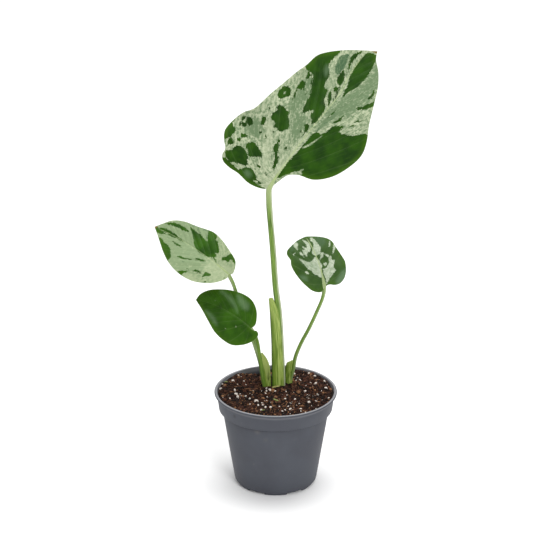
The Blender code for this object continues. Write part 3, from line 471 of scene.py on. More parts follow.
class Graph:
    """A material's node tree, with short names for what the finishes use."""

    def __init__(self, name):
        self.material = bpy.data.materials.new(name)
        self.material.use_nodes = True
        self.tree = self.material.node_tree
        self.shader = self.tree.nodes["Principled BSDF"]

    def feed(self, socket, value):
        if isinstance(value, bpy.types.NodeSocket):
            self.tree.links.new(value, socket)
        else:
            socket.default_value = value

    def surface(self, **values):
        for name, value in values.items():
            self.feed(self.shader.inputs[name.replace("_", " ")], value)

    def attribute(self, name, output="Fac"):
        made = self.tree.nodes.new("ShaderNodeAttribute")
        made.attribute_name = name
        return made.outputs[output]

    def object_place(self):
        return self.tree.nodes.new("ShaderNodeTexCoord").outputs["Object"]

    def parts(self, vector):
        made = self.tree.nodes.new("ShaderNodeSeparateXYZ")
        self.feed(made.inputs[0], vector)
        return made.outputs

    def math(self, operation, first, second=0.0, third=0.0):
        made = self.tree.nodes.new("ShaderNodeMath")
        made.operation = operation
        for socket, value in zip(made.inputs, (first, second, third)):
            self.feed(socket, value)
        return made.outputs[0]

    def stretch(self, vector, factors):
        made = self.tree.nodes.new("ShaderNodeVectorMath")
        made.operation = "MULTIPLY"
        self.feed(made.inputs[0], vector)
        made.inputs[1].default_value = factors
        return made.outputs[0]

    def noise(self, vector, scale, detail=2.0, roughness=0.5, distortion=0.0):
        made = self.tree.nodes.new("ShaderNodeTexNoise")
        self.feed(made.inputs["Vector"], vector)
        made.inputs["Scale"].default_value = scale
        made.inputs["Detail"].default_value = detail
        made.inputs["Roughness"].default_value = roughness
        made.inputs["Distortion"].default_value = distortion
        return made.outputs["Fac"]

    def cells(self, vector, scale, feature="F1"):
        made = self.tree.nodes.new("ShaderNodeTexVoronoi")
        made.feature = feature
        self.feed(made.inputs["Vector"], vector)
        made.inputs["Scale"].default_value = scale
        return made.outputs["Distance"]

    def step(self, value, low, high, start=0.0, end=1.0):
        """A smooth step of value from low to high."""
        made = self.tree.nodes.new("ShaderNodeMapRange")
        made.interpolation_type = "SMOOTHSTEP"
        for name, number in (("From Min", low), ("From Max", high), ("To Min", start),
                             ("To Max", end)):
            self.feed(made.inputs[name], number)
        self.feed(made.inputs["Value"], value)
        return made.outputs[0]

    def mix(self, share, first, second):
        made = self.tree.nodes.new("ShaderNodeMix")
        made.data_type = "RGBA"
        self.feed(made.inputs["Factor"], share)
        self.feed(made.inputs[6], first)
        self.feed(made.inputs[7], second)
        return made.outputs[2]

    def bump(self, height, distance):
        """Relief from a height of 0 to 1, distance metres deep."""
        made = self.tree.nodes.new("ShaderNodeBump")
        made.inputs["Distance"].default_value = distance
        self.feed(made.inputs["Height"], height)
        return made.outputs[0]

    def distance(self, vector, place):
        made = self.tree.nodes.new("ShaderNodeVectorMath")
        made.operation = "DISTANCE"
        self.feed(made.inputs[0], vector)
        made.inputs[1].default_value = place
        return made.outputs["Value"]


# Meshes

def make_piece(name, points, faces, material=None, smooth=True):
    """A mesh object from points in millimetres."""
    mesh = bpy.data.meshes.new(name)
    mesh.from_pydata((np.asarray(points, float) * MM).tolist(), [], faces)
    if material:
        mesh.materials.append(material)
    if smooth:
        mesh.shade_smooth()
        mesh.set_sharp_from_angle(angle=math.radians(60))
    piece = bpy.data.objects.new(name, mesh)
    bpy.context.scene.collection.objects.link(piece)
    return piece


def set_values(piece, name, values):
    layer = piece.data.attributes.new(name, "FLOAT", "POINT")
    layer.data.foreach_set("value", np.asarray(values, np.float32).ravel())


def set_vectors(piece, name, vectors):
    layer = piece.data.attributes.new(name, "FLOAT_VECTOR", "POINT")
    layer.data.foreach_set("vector", np.asarray(vectors, np.float32).ravel())


def settle(piece, slot, *nodes):
    """Fix a piece to the plant's one body, in place of the nodes that it stands for."""
    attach(piece, "root")
    if nodes:
        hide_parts(*nodes)


def face_out(piece):
    shape = bmesh.new()
    shape.from_mesh(piece.data)
    bmesh.ops.recalc_face_normals(shape, faces=shape.faces)
    shape.to_mesh(piece.data)
    shape.free()


# Curves

def blend(start, end, low, high, t):
    return start + (t - low) / (high - low) * (end - start)


def curve_point(four, times, t):
    """One point of the smooth curve between the middle two of four controls."""
    near = [blend(four[i], four[i + 1], times[i], times[i + 1], t) for i in range(3)]
    wide = [blend(near[i], near[i + 1], times[i], times[i + 2], t) for i in range(2)]
    return blend(wide[0], wide[1], times[1], times[2], t)


def spline(controls, count):
    """Points at even steps along a smooth curve through the controls."""
    controls = np.array(controls, float)
    before = 2 * controls[0] - controls[1]
    after = 2 * controls[-1] - controls[-2]
    nodes = np.vstack([before, controls, after])
    fine = []
    for start in range(len(controls) - 1):
        four = nodes[start:start + 4]
        steps = np.sqrt(np.linalg.norm(np.diff(four[:, :3], axis=0), axis=1))
        times = np.concatenate([[0.0], np.cumsum(np.maximum(steps, 1e-6))])
        for t in np.linspace(times[1], times[2], 12, endpoint=False):
            fine.append(curve_point(four, times, t))
    fine.append(controls[-1])
    fine = np.array(fine)
    lengths = np.concatenate([[0.0], np.cumsum(np.linalg.norm(np.diff(fine, axis=0), axis=1))])
    even = np.linspace(0.0, lengths[-1], count)
    columns = [np.interp(even, lengths, fine[:, axis]) for axis in range(fine.shape[1])]
    return np.stack(columns, axis=1)


def closed_curve(corners):
    """A smooth closed outline through the corners."""
    corners = np.array(corners, float)
    count = len(corners)
    points = []
    for index in range(count):
        before, start, end, after = (corners[(index + step) % count] for step in (-1, 0, 1, 2))
        for t in (0.0, 0.33, 0.67):
            pull_start = (end - before) / 2.6
            pull_end = (after - start) / 2.6
            square, cube = t * t, t ** 3
            points.append((2 * cube - 3 * square + 1) * start + (cube - 2 * square + t) * pull_start
                          + (3 * square - 2 * cube) * end + (cube - square) * pull_end)
    return np.array(points)


def unit(vector):
    return vector / np.linalg.norm(vector)


def smooth_share(value, low, high):
    share = np.clip((value - low) / (high - low), 0.0, 1.0)
    return share * share * (3.0 - 2.0 * share)


# Blades

def leaf_axes(leaf):
    """The leaf frame's p, q and h directions."""
    azimuth = math.radians(leaf.azimuth)
    elevation = math.radians(leaf.elevation)
    roll = math.radians(leaf.roll)
    along = np.array((math.cos(azimuth) * math.cos(elevation),
                      math.sin(azimuth) * math.cos(elevation), math.sin(elevation)))
    side = unit(np.cross(along, (0.0, 0.0, 1.0)))
    level = np.cross(side, along)
    out = math.cos(roll) * level + math.sin(roll) * side
    return along, np.cross(out, along), out


def leaf_to_world(leaf, p, q, h):
    along, across, out = leaf_axes(leaf)
    p, q, h = (np.asarray(value, float)[..., None] for value in (p, q, h))
    return np.array(leaf.junction) + p * along + q * across + h * out


def midrib(leaf, p):
    share = np.clip(p / leaf.length, 0.0, 1.0)
    return leaf.bow * 4.0 * share * (1.0 - share)


def rib_place(leaf, p):
    """Where the midrib's groove runs."""
    places, offs = zip(*leaf.rib_line)
    return midrib(leaf, p) + np.interp(p, places, offs)


def blade_height(leaf, p, q):
    """How far the blade's face stands out of the leaf frame's plane."""
    off = q - midrib(leaf, p)
    share = np.clip(p / leaf.length, 0.0, 1.2)
    out = off / leaf.half_width
    height = leaf.fold * (np.sqrt(off * off + FOLD_SOFTNESS ** 2) - FOLD_SOFTNESS)
    height = height - leaf.cup * leaf.half_width * out ** 2
    height = height - leaf.arch * leaf.length * share ** 2
    for side, size, count, phase in leaf.waves:
        wave = size * out ** 2 * np.sin(TAU * (count * p / leaf.length + phase))
        height = height + np.where(side * off > 0, wave, 0.0)
    return height


def rib_depth(leaf, p, off):
    """How far the midrib stands out of the blade's back."""
    share = np.clip(p / leaf.length, 0.0, 1.0)
    width = 1.0 + 1.2 * (1.0 - share)
    return leaf.rib * (1.0 - share) ** 0.8 * np.exp(-(off / width) ** 2)


def blade_outline(leaf):
    """The blade's outline in (p, q), from the junction round by the tip and back."""
    steps = int(leaf.length * 1.35 / FINE_STEP)
    right = spline(leaf.right_margin, steps)
    left = spline(leaf.left_margin, steps)
    return np.vstack([right[:-1], left[:0:-1]])


def inside_outline(outline, points):
    """Which points lie in a closed outline, by the even-odd rule."""
    inside = np.zeros(len(points), bool)
    p, q = points[:, 0], points[:, 1]
    for (p0, q0), (p1, q1) in zip(outline, np.roll(outline, -1, axis=0)):
        if q0 == q1:
            continue
        spans = (q0 > q) != (q1 > q)
        inside ^= spans & (p < p0 + (p1 - p0) * (q - q0) / (q1 - q0))
    return inside


def outline_distance(outline, points):
    """How far each point is from a closed outline."""
    nearest = np.full(len(points), np.inf)
    for start, end in zip(outline, np.roll(outline, -1, axis=0)):
        run = end - start
        length = run @ run
        if length == 0.0:
            continue
        share = np.clip((points - start) @ run / length, 0.0, 1.0)
        gap = np.linalg.norm(points - start - share[:, None] * run, axis=1)
        nearest = np.minimum(nearest, gap)
    return nearest


def patch_distance(patches, points):
    """How far inside the nearest patch each point is, and less than 0 outside."""
    best = np.full(len(points), FAR_OUTSIDE)
    for corners in patches:
        outline = closed_curve(corners)
        gap = outline_distance(outline, points)
        best = np.maximum(best, np.where(inside_outline(outline, points), gap, -gap))
    return best


def blade_sheet(leaf):
    """The blade in its own plane: points and triangles, in rows that follow the midrib."""
    outline = blade_outline(leaf)
    near_rows = (0.0, 0.45, 0.95, 1.6, 2.4)
    far_rows = np.arange(2.4 + 0.87 * FINE_STEP, 75.0, 0.87 * FINE_STEP)
    rows = np.concatenate([near_rows, far_rows])
    field = []
    for side in (1, -1):
        for number, off in enumerate(rows):
            if off == 0.0 and side < 0:
                continue
            p = np.arange(-15.0 + 0.5 * FINE_STEP * (number % 2), leaf.length, FINE_STEP)
            field.append(np.stack([p, side * off + rib_place(leaf, p)], axis=1))
    field = np.vstack(field)
    kept = inside_outline(outline, field) & (outline_distance(outline, field) > 0.5 * FINE_STEP)
    points = np.vstack([outline, field[kept]])
    made = delaunay_2d_cdt([Vector(point) for point in points], [], [list(range(len(outline)))],
                           1, 0.00001)
    return np.array([tuple(point) for point in made[0]]), made[2], outline


def open_edges(triangles):
    """The directed edges that one triangle alone uses."""
    used = set()
    for triangle in triangles:
        for index, start in enumerate(triangle):
            used.add((start, triangle[(index + 1) % 3]))
    return sorted(edge for edge in used if edge[::-1] not in used)


def vein_lean(leaf, root):
    """How far forward a side vein runs for each millimetre out from the midrib."""
    share = root / leaf.length
    return -0.9 + 2.3 * (1.0 - np.exp(-share / 0.10)) + 0.5 * share


def vein_flow(leaf, p, off):
    """The root on the midrib of the side vein through each point, and the way along it."""
    low = np.zeros(len(p))
    high = np.full(len(p), leaf.length)
    out = np.abs(off)
    for _ in range(28):
        root = (low + high) / 2.0
        ahead = root + out * vein_lean(leaf, root) + 0.012 * out * out > p
        high = np.where(ahead, root, high)
        low = np.where(ahead, low, root)
    return root, out * np.hypot(1.0, vein_lean(leaf, root))


def vein_count(leaf, root):
    """The side veins' running number at a root: they fan closer together at the base."""
    return root / leaf.vein_gap + 2.4 * (1.0 - np.exp(-root / (0.05 * leaf.length)))


def blade_relief(leaf, count, off, edge):
    """The fine relief of the face: quilted between side veins, with a groove along the midrib."""
    to_vein = np.abs(count - np.round(count))
    body = smooth_share(np.abs(off), 0.0, 5.0) * smooth_share(edge, 0.0, 9.0)
    quilt = 0.30 * np.sin(np.pi * to_vein) ** 2 * body
    furrow = 0.12 * np.exp(-(to_vein / 0.07) ** 2) * body
    groove = 0.30 * np.exp(-(off / 0.7) ** 2)
    shoulder = 0.20 * np.exp(-((np.abs(off) - 1.6) / 0.7) ** 2)
    return quilt - furrow - groove + shoulder


def make_blade(leaf, material):
    flat, triangles, outline = blade_sheet(leaf)
    p, q = flat[:, 0], flat[:, 1]
    off = q - rib_place(leaf, p)
    edge = outline_distance(outline, flat)
    root, way = vein_flow(leaf, p, off)
    count = np.where(root < 0.1, 0.5, vein_count(leaf, root))
    height = blade_height(leaf, p, q)
    face = height + blade_relief(leaf, count, off, edge)
    thickness = blend(MARGIN_THICKNESS, BLADE_THICKNESS, 0.0, 1.0, smooth_share(edge, 0.0, 1.2))
    back = height - thickness - rib_depth(leaf, p, off)
    front_points = leaf_to_world(leaf, p, q, face)
    back_points = leaf_to_world(leaf, p, q, back)
    total = len(flat)
    faces = list(triangles)
    faces += [[total + corner for corner in reversed(triangle)] for triangle in triangles]
    for start, end in open_edges(triangles):
        faces.append((start, total + start, total + end, end))
    blade = make_piece(leaf.name + "_skin", np.vstack([front_points, back_points]), faces, material)
    flow = np.stack([count * leaf.vein_gap, way, off], axis=1)
    plan = np.stack([p, q, np.zeros(total)], axis=1)
    set_vectors(blade, "flow", np.vstack([flow, flow]))
    set_vectors(blade, "plan", np.vstack([plan, plan]))
    set_values(blade, "edge", np.tile(edge, 2))
    set_values(blade, "share", np.tile(np.clip(p / leaf.length, 0.0, 1.0), 2))
    set_values(blade, "back", np.repeat((0.0, 1.0), total))
    marks = MARKS[leaf.name]
    for kind in ("green", "grey", "mint", "pale", "light", "painted_sheen", "dried"):
        set_values(blade, kind, np.tile(patch_distance(marks.get(kind, ()), flat), 2))
    return blade


def leaf_skin(leaf, look):
    """A leaf's finish: a ground, patches on it, painted highlights among them, veins, a thin rim and
    a duller back.
    """
    graph = Graph(leaf.name + "_finish")
    flow = graph.attribute("flow", "Vector")
    plan = graph.attribute("plan", "Vector")
    parts = graph.parts(flow)
    cream = srgb(*look.cream)
    mint = srgb(*look.mint)

    # Patches have ragged edges that follow the side veins
    streaks = graph.noise(graph.stretch(flow, (1.0, 0.30, 0.0)), 0.6, 4.0, 0.65)
    grain = graph.noise(plan, 0.8, 4.0, 0.65)
    shift = graph.math("MULTIPLY_ADD", graph.math("SUBTRACT", streaks, 0.5), 4.4,
                       graph.math("MULTIPLY", graph.math("SUBTRACT", grain, 0.5), 3.4))

    def patch(kind, softness=0.14, spread=1.0):
        distance = graph.math("MULTIPLY_ADD", shift, spread, graph.attribute(kind))
        return graph.step(distance, -softness, softness)

    # Pale tissue is a mosaic of cream and grey-green flecks, smoother and duller in mint zones
    flecks = graph.noise(plan, 0.34, 5.0, 0.72)
    mosaic = graph.math("MULTIPLY_ADD", graph.math("SUBTRACT", streaks, 0.5), 0.8, flecks)
    zone = graph.step(graph.attribute("mint"), -5.0, 4.0)
    mosaic = graph.math("MULTIPLY_ADD", zone, 0.16, mosaic)
    pale = graph.mix(graph.step(mosaic, 0.36, 0.66), cream, mint)
    cloud = graph.noise(plan, 0.09, 2.0, 0.5)
    pale = graph.mix(graph.step(cloud, 0.40, 0.70, 0.0, 0.35), pale, mint)
    pale = graph.mix(graph.step(flecks, 0.36, 0.26, 0.0, 0.5), pale, cream)
    pale = graph.mix(graph.step(graph.attribute("light"), -3.0, 3.0, 0.0, 0.5), pale, cream)

    depth = graph.noise(plan, 0.06, 2.0, 0.5)
    green = graph.mix(graph.step(depth, 0.3, 0.7), srgb(*look.dark), srgb(*look.light))
    green = graph.mix(graph.step(graph.attribute("edge"), 6.0, 0.5, 0.0, 0.5), green, LEAF_LIME)
    green = graph.mix(graph.step(streaks, 0.45, 0.75, 0.0, 0.25), green, LEAF_LIME)
    # Grey patches: grey-green tissue, and in places a painted highlight
    grey = graph.mix(graph.step(mosaic, 0.46, 0.66), LEAF_GREY, mint)
    if look.ground == "pale":
        islands = graph.math("MULTIPLY", graph.step(grain, 0.66, 0.69),
                             graph.step(graph.attribute("green"), -7.0, -1.5))
        colour = graph.mix(patch("grey", 0.5), pale, grey)
        colour = graph.mix(graph.math("MAXIMUM", patch("green"), islands), colour, green)
        colour = graph.mix(patch("pale", 0.4, 0.8), colour, pale)
    else:
        colour = graph.mix(patch("grey", 1.8), green, graph.mix(0.6, green, LEAF_GREY))
        colour = graph.mix(patch("pale", 0.35, 0.8), colour, pale)
    # Painted highlight: lighter grey-green patches standing in for light reflected off the face
    colour = graph.mix(graph.math("MULTIPLY", patch("painted_sheen", 3.0, 0.5), 0.4), colour, LEAF_PAINTED_SHEEN)

    # Veins
    share = graph.attribute("share")
    off = graph.math("ABSOLUTE", parts[2])
    off = graph.math("MULTIPLY_ADD", graph.math("SUBTRACT", streaks, 0.5), 1.6, off)
    rib_width = graph.step(share, 0.0, 0.3, look.rib_width, 0.30 * look.rib_width)
    rib = graph.step(graph.math("SUBTRACT", off, rib_width), 0.25, -0.25)
    rib = graph.math("MULTIPLY", rib, graph.step(share, 1.0, 0.86))
    to_vein = graph.math("PINGPONG", parts[0], leaf.vein_gap / 2.0)
    vein = graph.step(to_vein, 0.6, 0.0)
    colour = graph.mix(graph.math("MULTIPLY", vein, look.veins), colour, LEAF_RIB)
    colour = graph.mix(graph.math("MULTIPLY", rib, look.rib), colour, LEAF_RIB)

    rim = graph.step(graph.attribute("edge"), 0.6, 0.1)
    colour = graph.mix(graph.math("MULTIPLY", rim, 0.2), colour, LEAF_RIB)
    colour = graph.mix(patch("dried", 0.3, 0.2), colour, LEAF_DRIED)
    colour = graph.mix(graph.math("MULTIPLY", graph.attribute("back"), 0.4), colour, LEAF_BACK)

    gloss = graph.noise(plan, 0.25, 3.0)
    relief = graph.bump(graph.math("MULTIPLY_ADD", vein, -0.8, grain), 0.00012)
    graph.surface(Base_Color=colour, Roughness=graph.step(gloss, 0.2, 0.8, 0.30, 0.44),
                  Normal=relief, Specular_IOR_Level=LEAF_GLOSS, Specular_Tint=LEAF_GLOSS_TINT)
    return graph.material


# Stalks

def ring_frames(path):
    """Two directions square to the path at each point, turning as little as they can."""
    wide = np.array((1.0, 0.0, 0.0))
    frames = []
    for index in range(len(path)):
        before = path[max(index - 1, 0)]
        after = path[min(index + 1, len(path) - 1)]
        along = unit(after - before)
        wide = unit(wide - along * (wide @ along))
        frames.append((wide, np.cross(along, wide)))
    return frames


def tube_faces(rings, sides, caps=True):
    faces = []
    for ring in range(rings - 1):
        for side in range(sides):
            following = (side + 1) % sides
            low = ring * sides
            high = low + sides
            faces.append((low + side, low + following, high + following, high + side))
    if caps:
        last = (rings - 1) * sides
        faces.append(tuple(reversed(range(sides))))
        faces.append(tuple(range(last, last + sides)))
    return faces


STALK_SIDES = 28

# How a stalk runs on into the midrib: (p, depth below the face, share of its radius)
STALK_END = ((0.5, 2.0, 1.0), (4.5, 1.2, 0.8), (10.0, 0.75, 0.55), (17.0, 0.42, 0.3))
SHORT_STALK_END = ((0.5, 2.4, 0.9), (3.0, 2.3, 0.7), (7.0, 1.6, 0.4))


def stalk_path(stalk, leaf):
    """The stalk's route, carried on under the face along the midrib, with its radii."""
    ends = []
    for p, depth, share in SHORT_STALK_END if leaf is GREEN else STALK_END:
        q = float(rib_place(leaf, p))
        height = float(blade_height(leaf, p, q))
        ends.append((*leaf_to_world(leaf, p, q, height - depth), share * stalk.tip_radius))
    route = [(*point, None) for point in (stalk.foot,) + stalk.route]
    share = np.linspace(0.0, 1.0, len(route))
    radii = stalk.radius + (stalk.tip_radius - stalk.radius) * share
    route = [(x, y, z, radius) for (x, y, z, blank), radius in zip(route, radii)]
    path = spline(route + ends, 150)
    return path[:, :3], path[:, 3]


def make_stalk(leaf, stalk, material):
    path, radii = stalk_path(stalk, leaf)
    points = []
    turns = []
    rises = []
    for index, (wide, deep) in enumerate(ring_frames(path)):
        share = index / (len(path) - 1)
        swell = 0.08 * math.exp(-((share - 0.86) / 0.05) ** 2)
        for side in range(STALK_SIDES):
            turn = TAU * side / STALK_SIDES
            groove = 0.05 * math.exp(-((math.cos(turn) + 0.2) / 0.25) ** 2)
            ripple = 0.012 * math.sin(9 * turn + 3.0 * share)
            radius = radii[index] * (1.0 + swell - groove + ripple)
            points.append(path[index] + radius * (math.cos(turn) * wide + math.sin(turn) * deep))
            turns.append(turn)
            rises.append(share)
    piece = make_piece(leaf.name + "_stalk", points, tube_faces(len(path), STALK_SIDES), material)
    turns = np.array(turns)
    rises = np.array(rises)
    side = np.cos(turns - math.radians(stalk.pale_side))
    length = np.linalg.norm(np.diff(path, axis=0), axis=1).sum()
    set_vectors(piece, "grain", np.stack([np.cos(turns) * 3.0, np.sin(turns) * 3.0,
                                          rises * length * 0.05], axis=1))
    set_values(piece, "side", side)
    set_values(piece, "rise", rises)
    return piece


def stalk_skin(name, pale_share):
    """A stalk's finish: long fine streaks, a pale strip down one side, paler at the blade."""
    graph = Graph(name)
    grain = graph.attribute("grain", "Vector")
    streak = graph.noise(grain, 1.1, 3.0, 0.6)
    colour = graph.mix(graph.step(streak, 0.30, 0.60), STALK_DARK, STALK_GREEN)
    strip = graph.math("MULTIPLY_ADD", graph.math("SUBTRACT", streak, 0.5), 0.5,
                       graph.attribute("side"))
    strip = graph.step(strip, 0.55, 0.85, 0.0, pale_share)
    colour = graph.mix(strip, colour, STALK_PALE)
    near_blade = graph.step(graph.attribute("rise"), 0.80, 0.95, 0.0, 0.7)
    colour = graph.mix(near_blade, colour, LEAF_RIB)
    relief = graph.bump(streak, 0.00025)
    graph.surface(Base_Color=colour, Roughness=0.42, Normal=relief, Specular_IOR_Level=0.25)
    return graph.material


# Sheaths

SHEATH_COLUMNS = 60
SHEATH_ROWS = 70
SHEATH_THICKNESS = 0.45
SHEATH_STAND_OFF = 0.15


def make_sheath(leaf, stalk, material):
    """A thin sleeve round the stalk's foot, with a rim whose height changes round it."""
    stations = spline(np.array(stalk.sheath, float), 60)
    heights = stations[:, 2]
    turns = [turn for turn, height in stalk.rim]
    rims = [height for turn, height in stalk.rim]
    angles = np.linspace(turns[0], turns[-1], SHEATH_COLUMNS)
    rim_heights = np.interp(angles, turns, rims)
    foot = heights[0]
    sheets = []
    for depth in (SHEATH_STAND_OFF, SHEATH_STAND_OFF - SHEATH_THICKNESS):
        sheet = []
        for angle, rim in zip(angles, rim_heights):
            across = math.cos(math.radians(angle))
            deep = math.sin(math.radians(angle))
            flare = 0.35 if depth > 0 else 0.0
            for row in range(SHEATH_ROWS):
                share = row / (SHEATH_ROWS - 1)
                z = foot + (rim - foot) * share
                x, y, width, thickness = (np.interp(z, heights, stations[:, axis])
                                          for axis in (0, 1, 3, 4))
                lift = depth + flare * share ** 8
                sheet.append((x + (width + lift) * across, y + (thickness + lift) * deep, z))
        sheets.append(sheet)
    total = len(sheets[0])
    faces = []
    for column in range(SHEATH_COLUMNS - 1):
        for row in range(SHEATH_ROWS - 1):
            low = column * SHEATH_ROWS + row
            high = low + SHEATH_ROWS
            faces.append((low, high, high + 1, low + 1))
            faces.append((total + low, total + low + 1, total + high + 1, total + high))
    border = sheet_border(SHEATH_COLUMNS, SHEATH_ROWS)
    for start, end in zip(border, border[1:] + border[:1]):
        faces.append((start, total + start, total + end, end))
    piece = make_piece(leaf.name + "_sheath", sheets[0] + sheets[1], faces, material)
    face_out(piece)
    radians = np.radians(np.repeat(angles, SHEATH_ROWS))
    rises = np.tile(np.linspace(0.0, 1.0, SHEATH_ROWS), SHEATH_COLUMNS)
    grain = np.stack([np.cos(radians) * 4.0, np.sin(radians) * 4.0, rises * 3.0], axis=1)
    set_vectors(piece, "grain", np.vstack([grain, grain]))
    set_values(piece, "rise", np.tile(rises, 2))
    set_values(piece, "inner", np.repeat((0.0, 1.0), total))
    set_values(piece, "side", np.tile(np.cos(radians - math.radians(180.0)), 2))
    return piece


def sheet_border(columns, rows):
    """The border of a grid of columns of points, in order."""
    last = (columns - 1) * rows
    border = [row for row in range(rows)]
    border += [column * rows + rows - 1 for column in range(1, columns)]
    border += [last + row for row in range(rows - 2, -1, -1)]
    border += [column * rows for column in range(columns - 2, 0, -1)]
    return border


def sheath_skin(name):
    """A sheath's finish: long streaks, painted shade down the left side, paler inside and at the
    rim.
    """
    graph = Graph(name)
    grain = graph.attribute("grain", "Vector")
    streak = graph.noise(grain, 1.4, 3.0, 0.6)
    colour = graph.mix(graph.step(streak, 0.3, 0.7), SHEATH_DARK, SHEATH_GREEN)
    middle = graph.math("MULTIPLY", graph.step(graph.attribute("side"), 0.45, 0.1),
                        graph.step(streak, 0.40, 0.62, 0.0, 0.7))
    colour = graph.mix(middle, colour, SHEATH_PALE)
    # Painted shade: the left side darker, as on the side away from the light
    painted_shade = graph.step(graph.attribute("side"), 0.62, 0.92, 0.0, 0.8)
    colour = graph.mix(painted_shade, colour, SHEATH_PAINTED_SHADE)
    top = graph.step(graph.attribute("rise"), 0.80, 1.0, 0.0, 0.5)
    colour = graph.mix(graph.math("MAXIMUM", top, graph.attribute("inner")), colour, SHEATH_PALE)
    relief = graph.bump(streak, 0.0003)
    graph.surface(Base_Color=colour, Roughness=0.45, Normal=relief, Specular_IOR_Level=0.2)
    return graph.material


def make_spear(leaf, stalk, material):
    """The rolled body inside the tall leaf's sheath, closed at its tip."""
    stations = spline(np.array(stalk.sheath, float), 90)
    points = []
    turns = []
    for x, y, z, width, depth in stations:
        for side in range(STALK_SIDES):
            turn = TAU * side / STALK_SIDES
            points.append((x + width * math.cos(turn), y + depth * math.sin(turn), z))
            turns.append(turn)
    points.append(tuple(stations[-1][:3] + np.array((0.0, 0.0, 0.7))))
    faces = tube_faces(len(stations), STALK_SIDES, caps=False)
    last = (len(stations) - 1) * STALK_SIDES
    faces.append(tuple(reversed(range(STALK_SIDES))))
    for side in range(STALK_SIDES):
        faces.append((last + side, last + (side + 1) % STALK_SIDES, len(points) - 1))
    turns.append(0.0)
    piece = make_piece(leaf.name + "_spear", points, faces, material)
    turns = np.array(turns)
    rises = (np.array(points)[:, 2] - stations[0, 2]) / (stations[-1, 2] - stations[0, 2])
    set_vectors(piece, "grain", np.stack([np.cos(turns) * 4, np.sin(turns) * 4, rises * 3], axis=1))
    set_values(piece, "rise", rises)
    set_values(piece, "inner", np.zeros(len(points)))
    set_values(piece, "side", -np.cos(turns))
    return piece


# Soil

def bump(x, y, place):
    centre_x, centre_y, spread, height = place
    return height * np.exp(-((x - centre_x) ** 2 + (y - centre_y) ** 2) / spread ** 2)


def lump_waves(seed):
    """Random short waves whose sum makes the soil's lumps, as in the part's source."""
    draw = np.random.default_rng(seed)
    waves = []
    for index in range(14):
        wavelength = draw.uniform(9.0, 26.0)
        heading = draw.uniform(0, TAU)
        phase = draw.uniform(0, TAU)
        waves.append((math.cos(heading) * TAU / wavelength, math.sin(heading) * TAU / wavelength,
                      phase, wavelength / 26.0))
    return waves


WAVES = lump_waves(SOIL_SEED)


def soil_height(x, y):
    lumps = sum(size * np.sin(a * x + b * y + phase) for a, b, phase, size in WAVES)
    height = SOIL_LEVEL + SOIL_LUMP * lumps / 3.0
    height = height + bump(x, y, SOIL_RISE) + bump(x, y, SOIL_MOUND) - bump(x, y, SOIL_DIP)
    top, fall = SOIL_CROWN
    return np.minimum(height, top - fall * (x * x + y * y) / SOIL_REACH ** 2)


def soil_radius(height):
    radii = [radius for radius, z in SOIL_INSIDE]
    heights = [z for radius, z in SOIL_INSIDE]
    return float(np.interp(height, heights, radii)) - SEAT_GAP - 0.05


def crumble(x, y, height):
    """The soil's height with its fine crumbs."""
    place = Vector((x * 0.16, y * 0.16, 0.0))
    coarse = noise.noise(place)
    fine = noise.noise(place * 3.1)
    return height + 0.9 * coarse + 0.5 * fine - 0.4


def make_soil(material):
    rings = 84
    segments = 240
    points = [(0.0, 0.0, 3.9)]
    profile = [(radius - SEAT_GAP - 0.05, z + SEAT_GAP) for radius, z in SOIL_INSIDE[:4]]
    for radius, z in profile:
        for segment in range(segments):
            turn = TAU * segment / segments
            points.append((radius * math.cos(turn), radius * math.sin(turn), z))
    reach = soil_radius(SOIL_LEVEL)
    for ring in range(rings):
        share = 1.0 - ring / rings
        for segment in range(segments):
            turn = TAU * segment / segments
            x, y = reach * share * math.cos(turn), reach * share * math.sin(turn)
            points.append((x, y, crumble(x, y, float(soil_height(x, y)))))
    points.append((0.0, 0.0, crumble(0.0, 0.0, float(soil_height(0.0, 0.0)))))
    faces = []
    total = len(profile) + rings
    for segment in range(segments):
        following = (segment + 1) % segments
        faces.append((0, 1 + following, 1 + segment))
        for ring in range(total - 1):
            low = 1 + ring * segments
            high = low + segments
            faces.append((low + segment, low + following, high + following, high + segment))
        last = 1 + (total - 1) * segments
        faces.append((last + segment, last + following, len(points) - 1))
    return make_piece("soil_bed", points, faces, material)


def ball(subdivisions):
    """A unit ball: its points and triangles."""
    shape = bmesh.new()
    bmesh.ops.create_icosphere(shape, subdivisions=subdivisions, radius=1.0)
    points = np.array([tuple(vert.co) for vert in shape.verts])
    faces = [tuple(vert.index for vert in face.verts) for face in shape.faces]
    shape.free()
    return points, faces


def turn_matrix(draw):
    """A random turn."""
    quaternion = draw.normal(size=4)
    w, x, y, z = quaternion / np.linalg.norm(quaternion)
    return np.array(((1 - 2 * (y * y + z * z), 2 * (x * y - z * w), 2 * (x * z + y * w)),
                     (2 * (x * y + z * w), 1 - 2 * (x * x + z * z), 2 * (y * z - x * w)),
                     (2 * (x * z - y * w), 2 * (y * z + x * w), 1 - 2 * (x * x + y * y))))


def soil_places(draw, count, reach=55.0):
    """Random places over the soil, clear of the stalks' feet."""
    places = []
    while len(places) < count:
        x, y = draw.uniform(-reach, reach, 2)
        stalks = ((x - 1.0) / 15.0) ** 2 + ((y - 13.0) / 6.5) ** 2
        if math.hypot(x, y) < reach and stalks > 1.0:
            places.append((x, y))
    return places


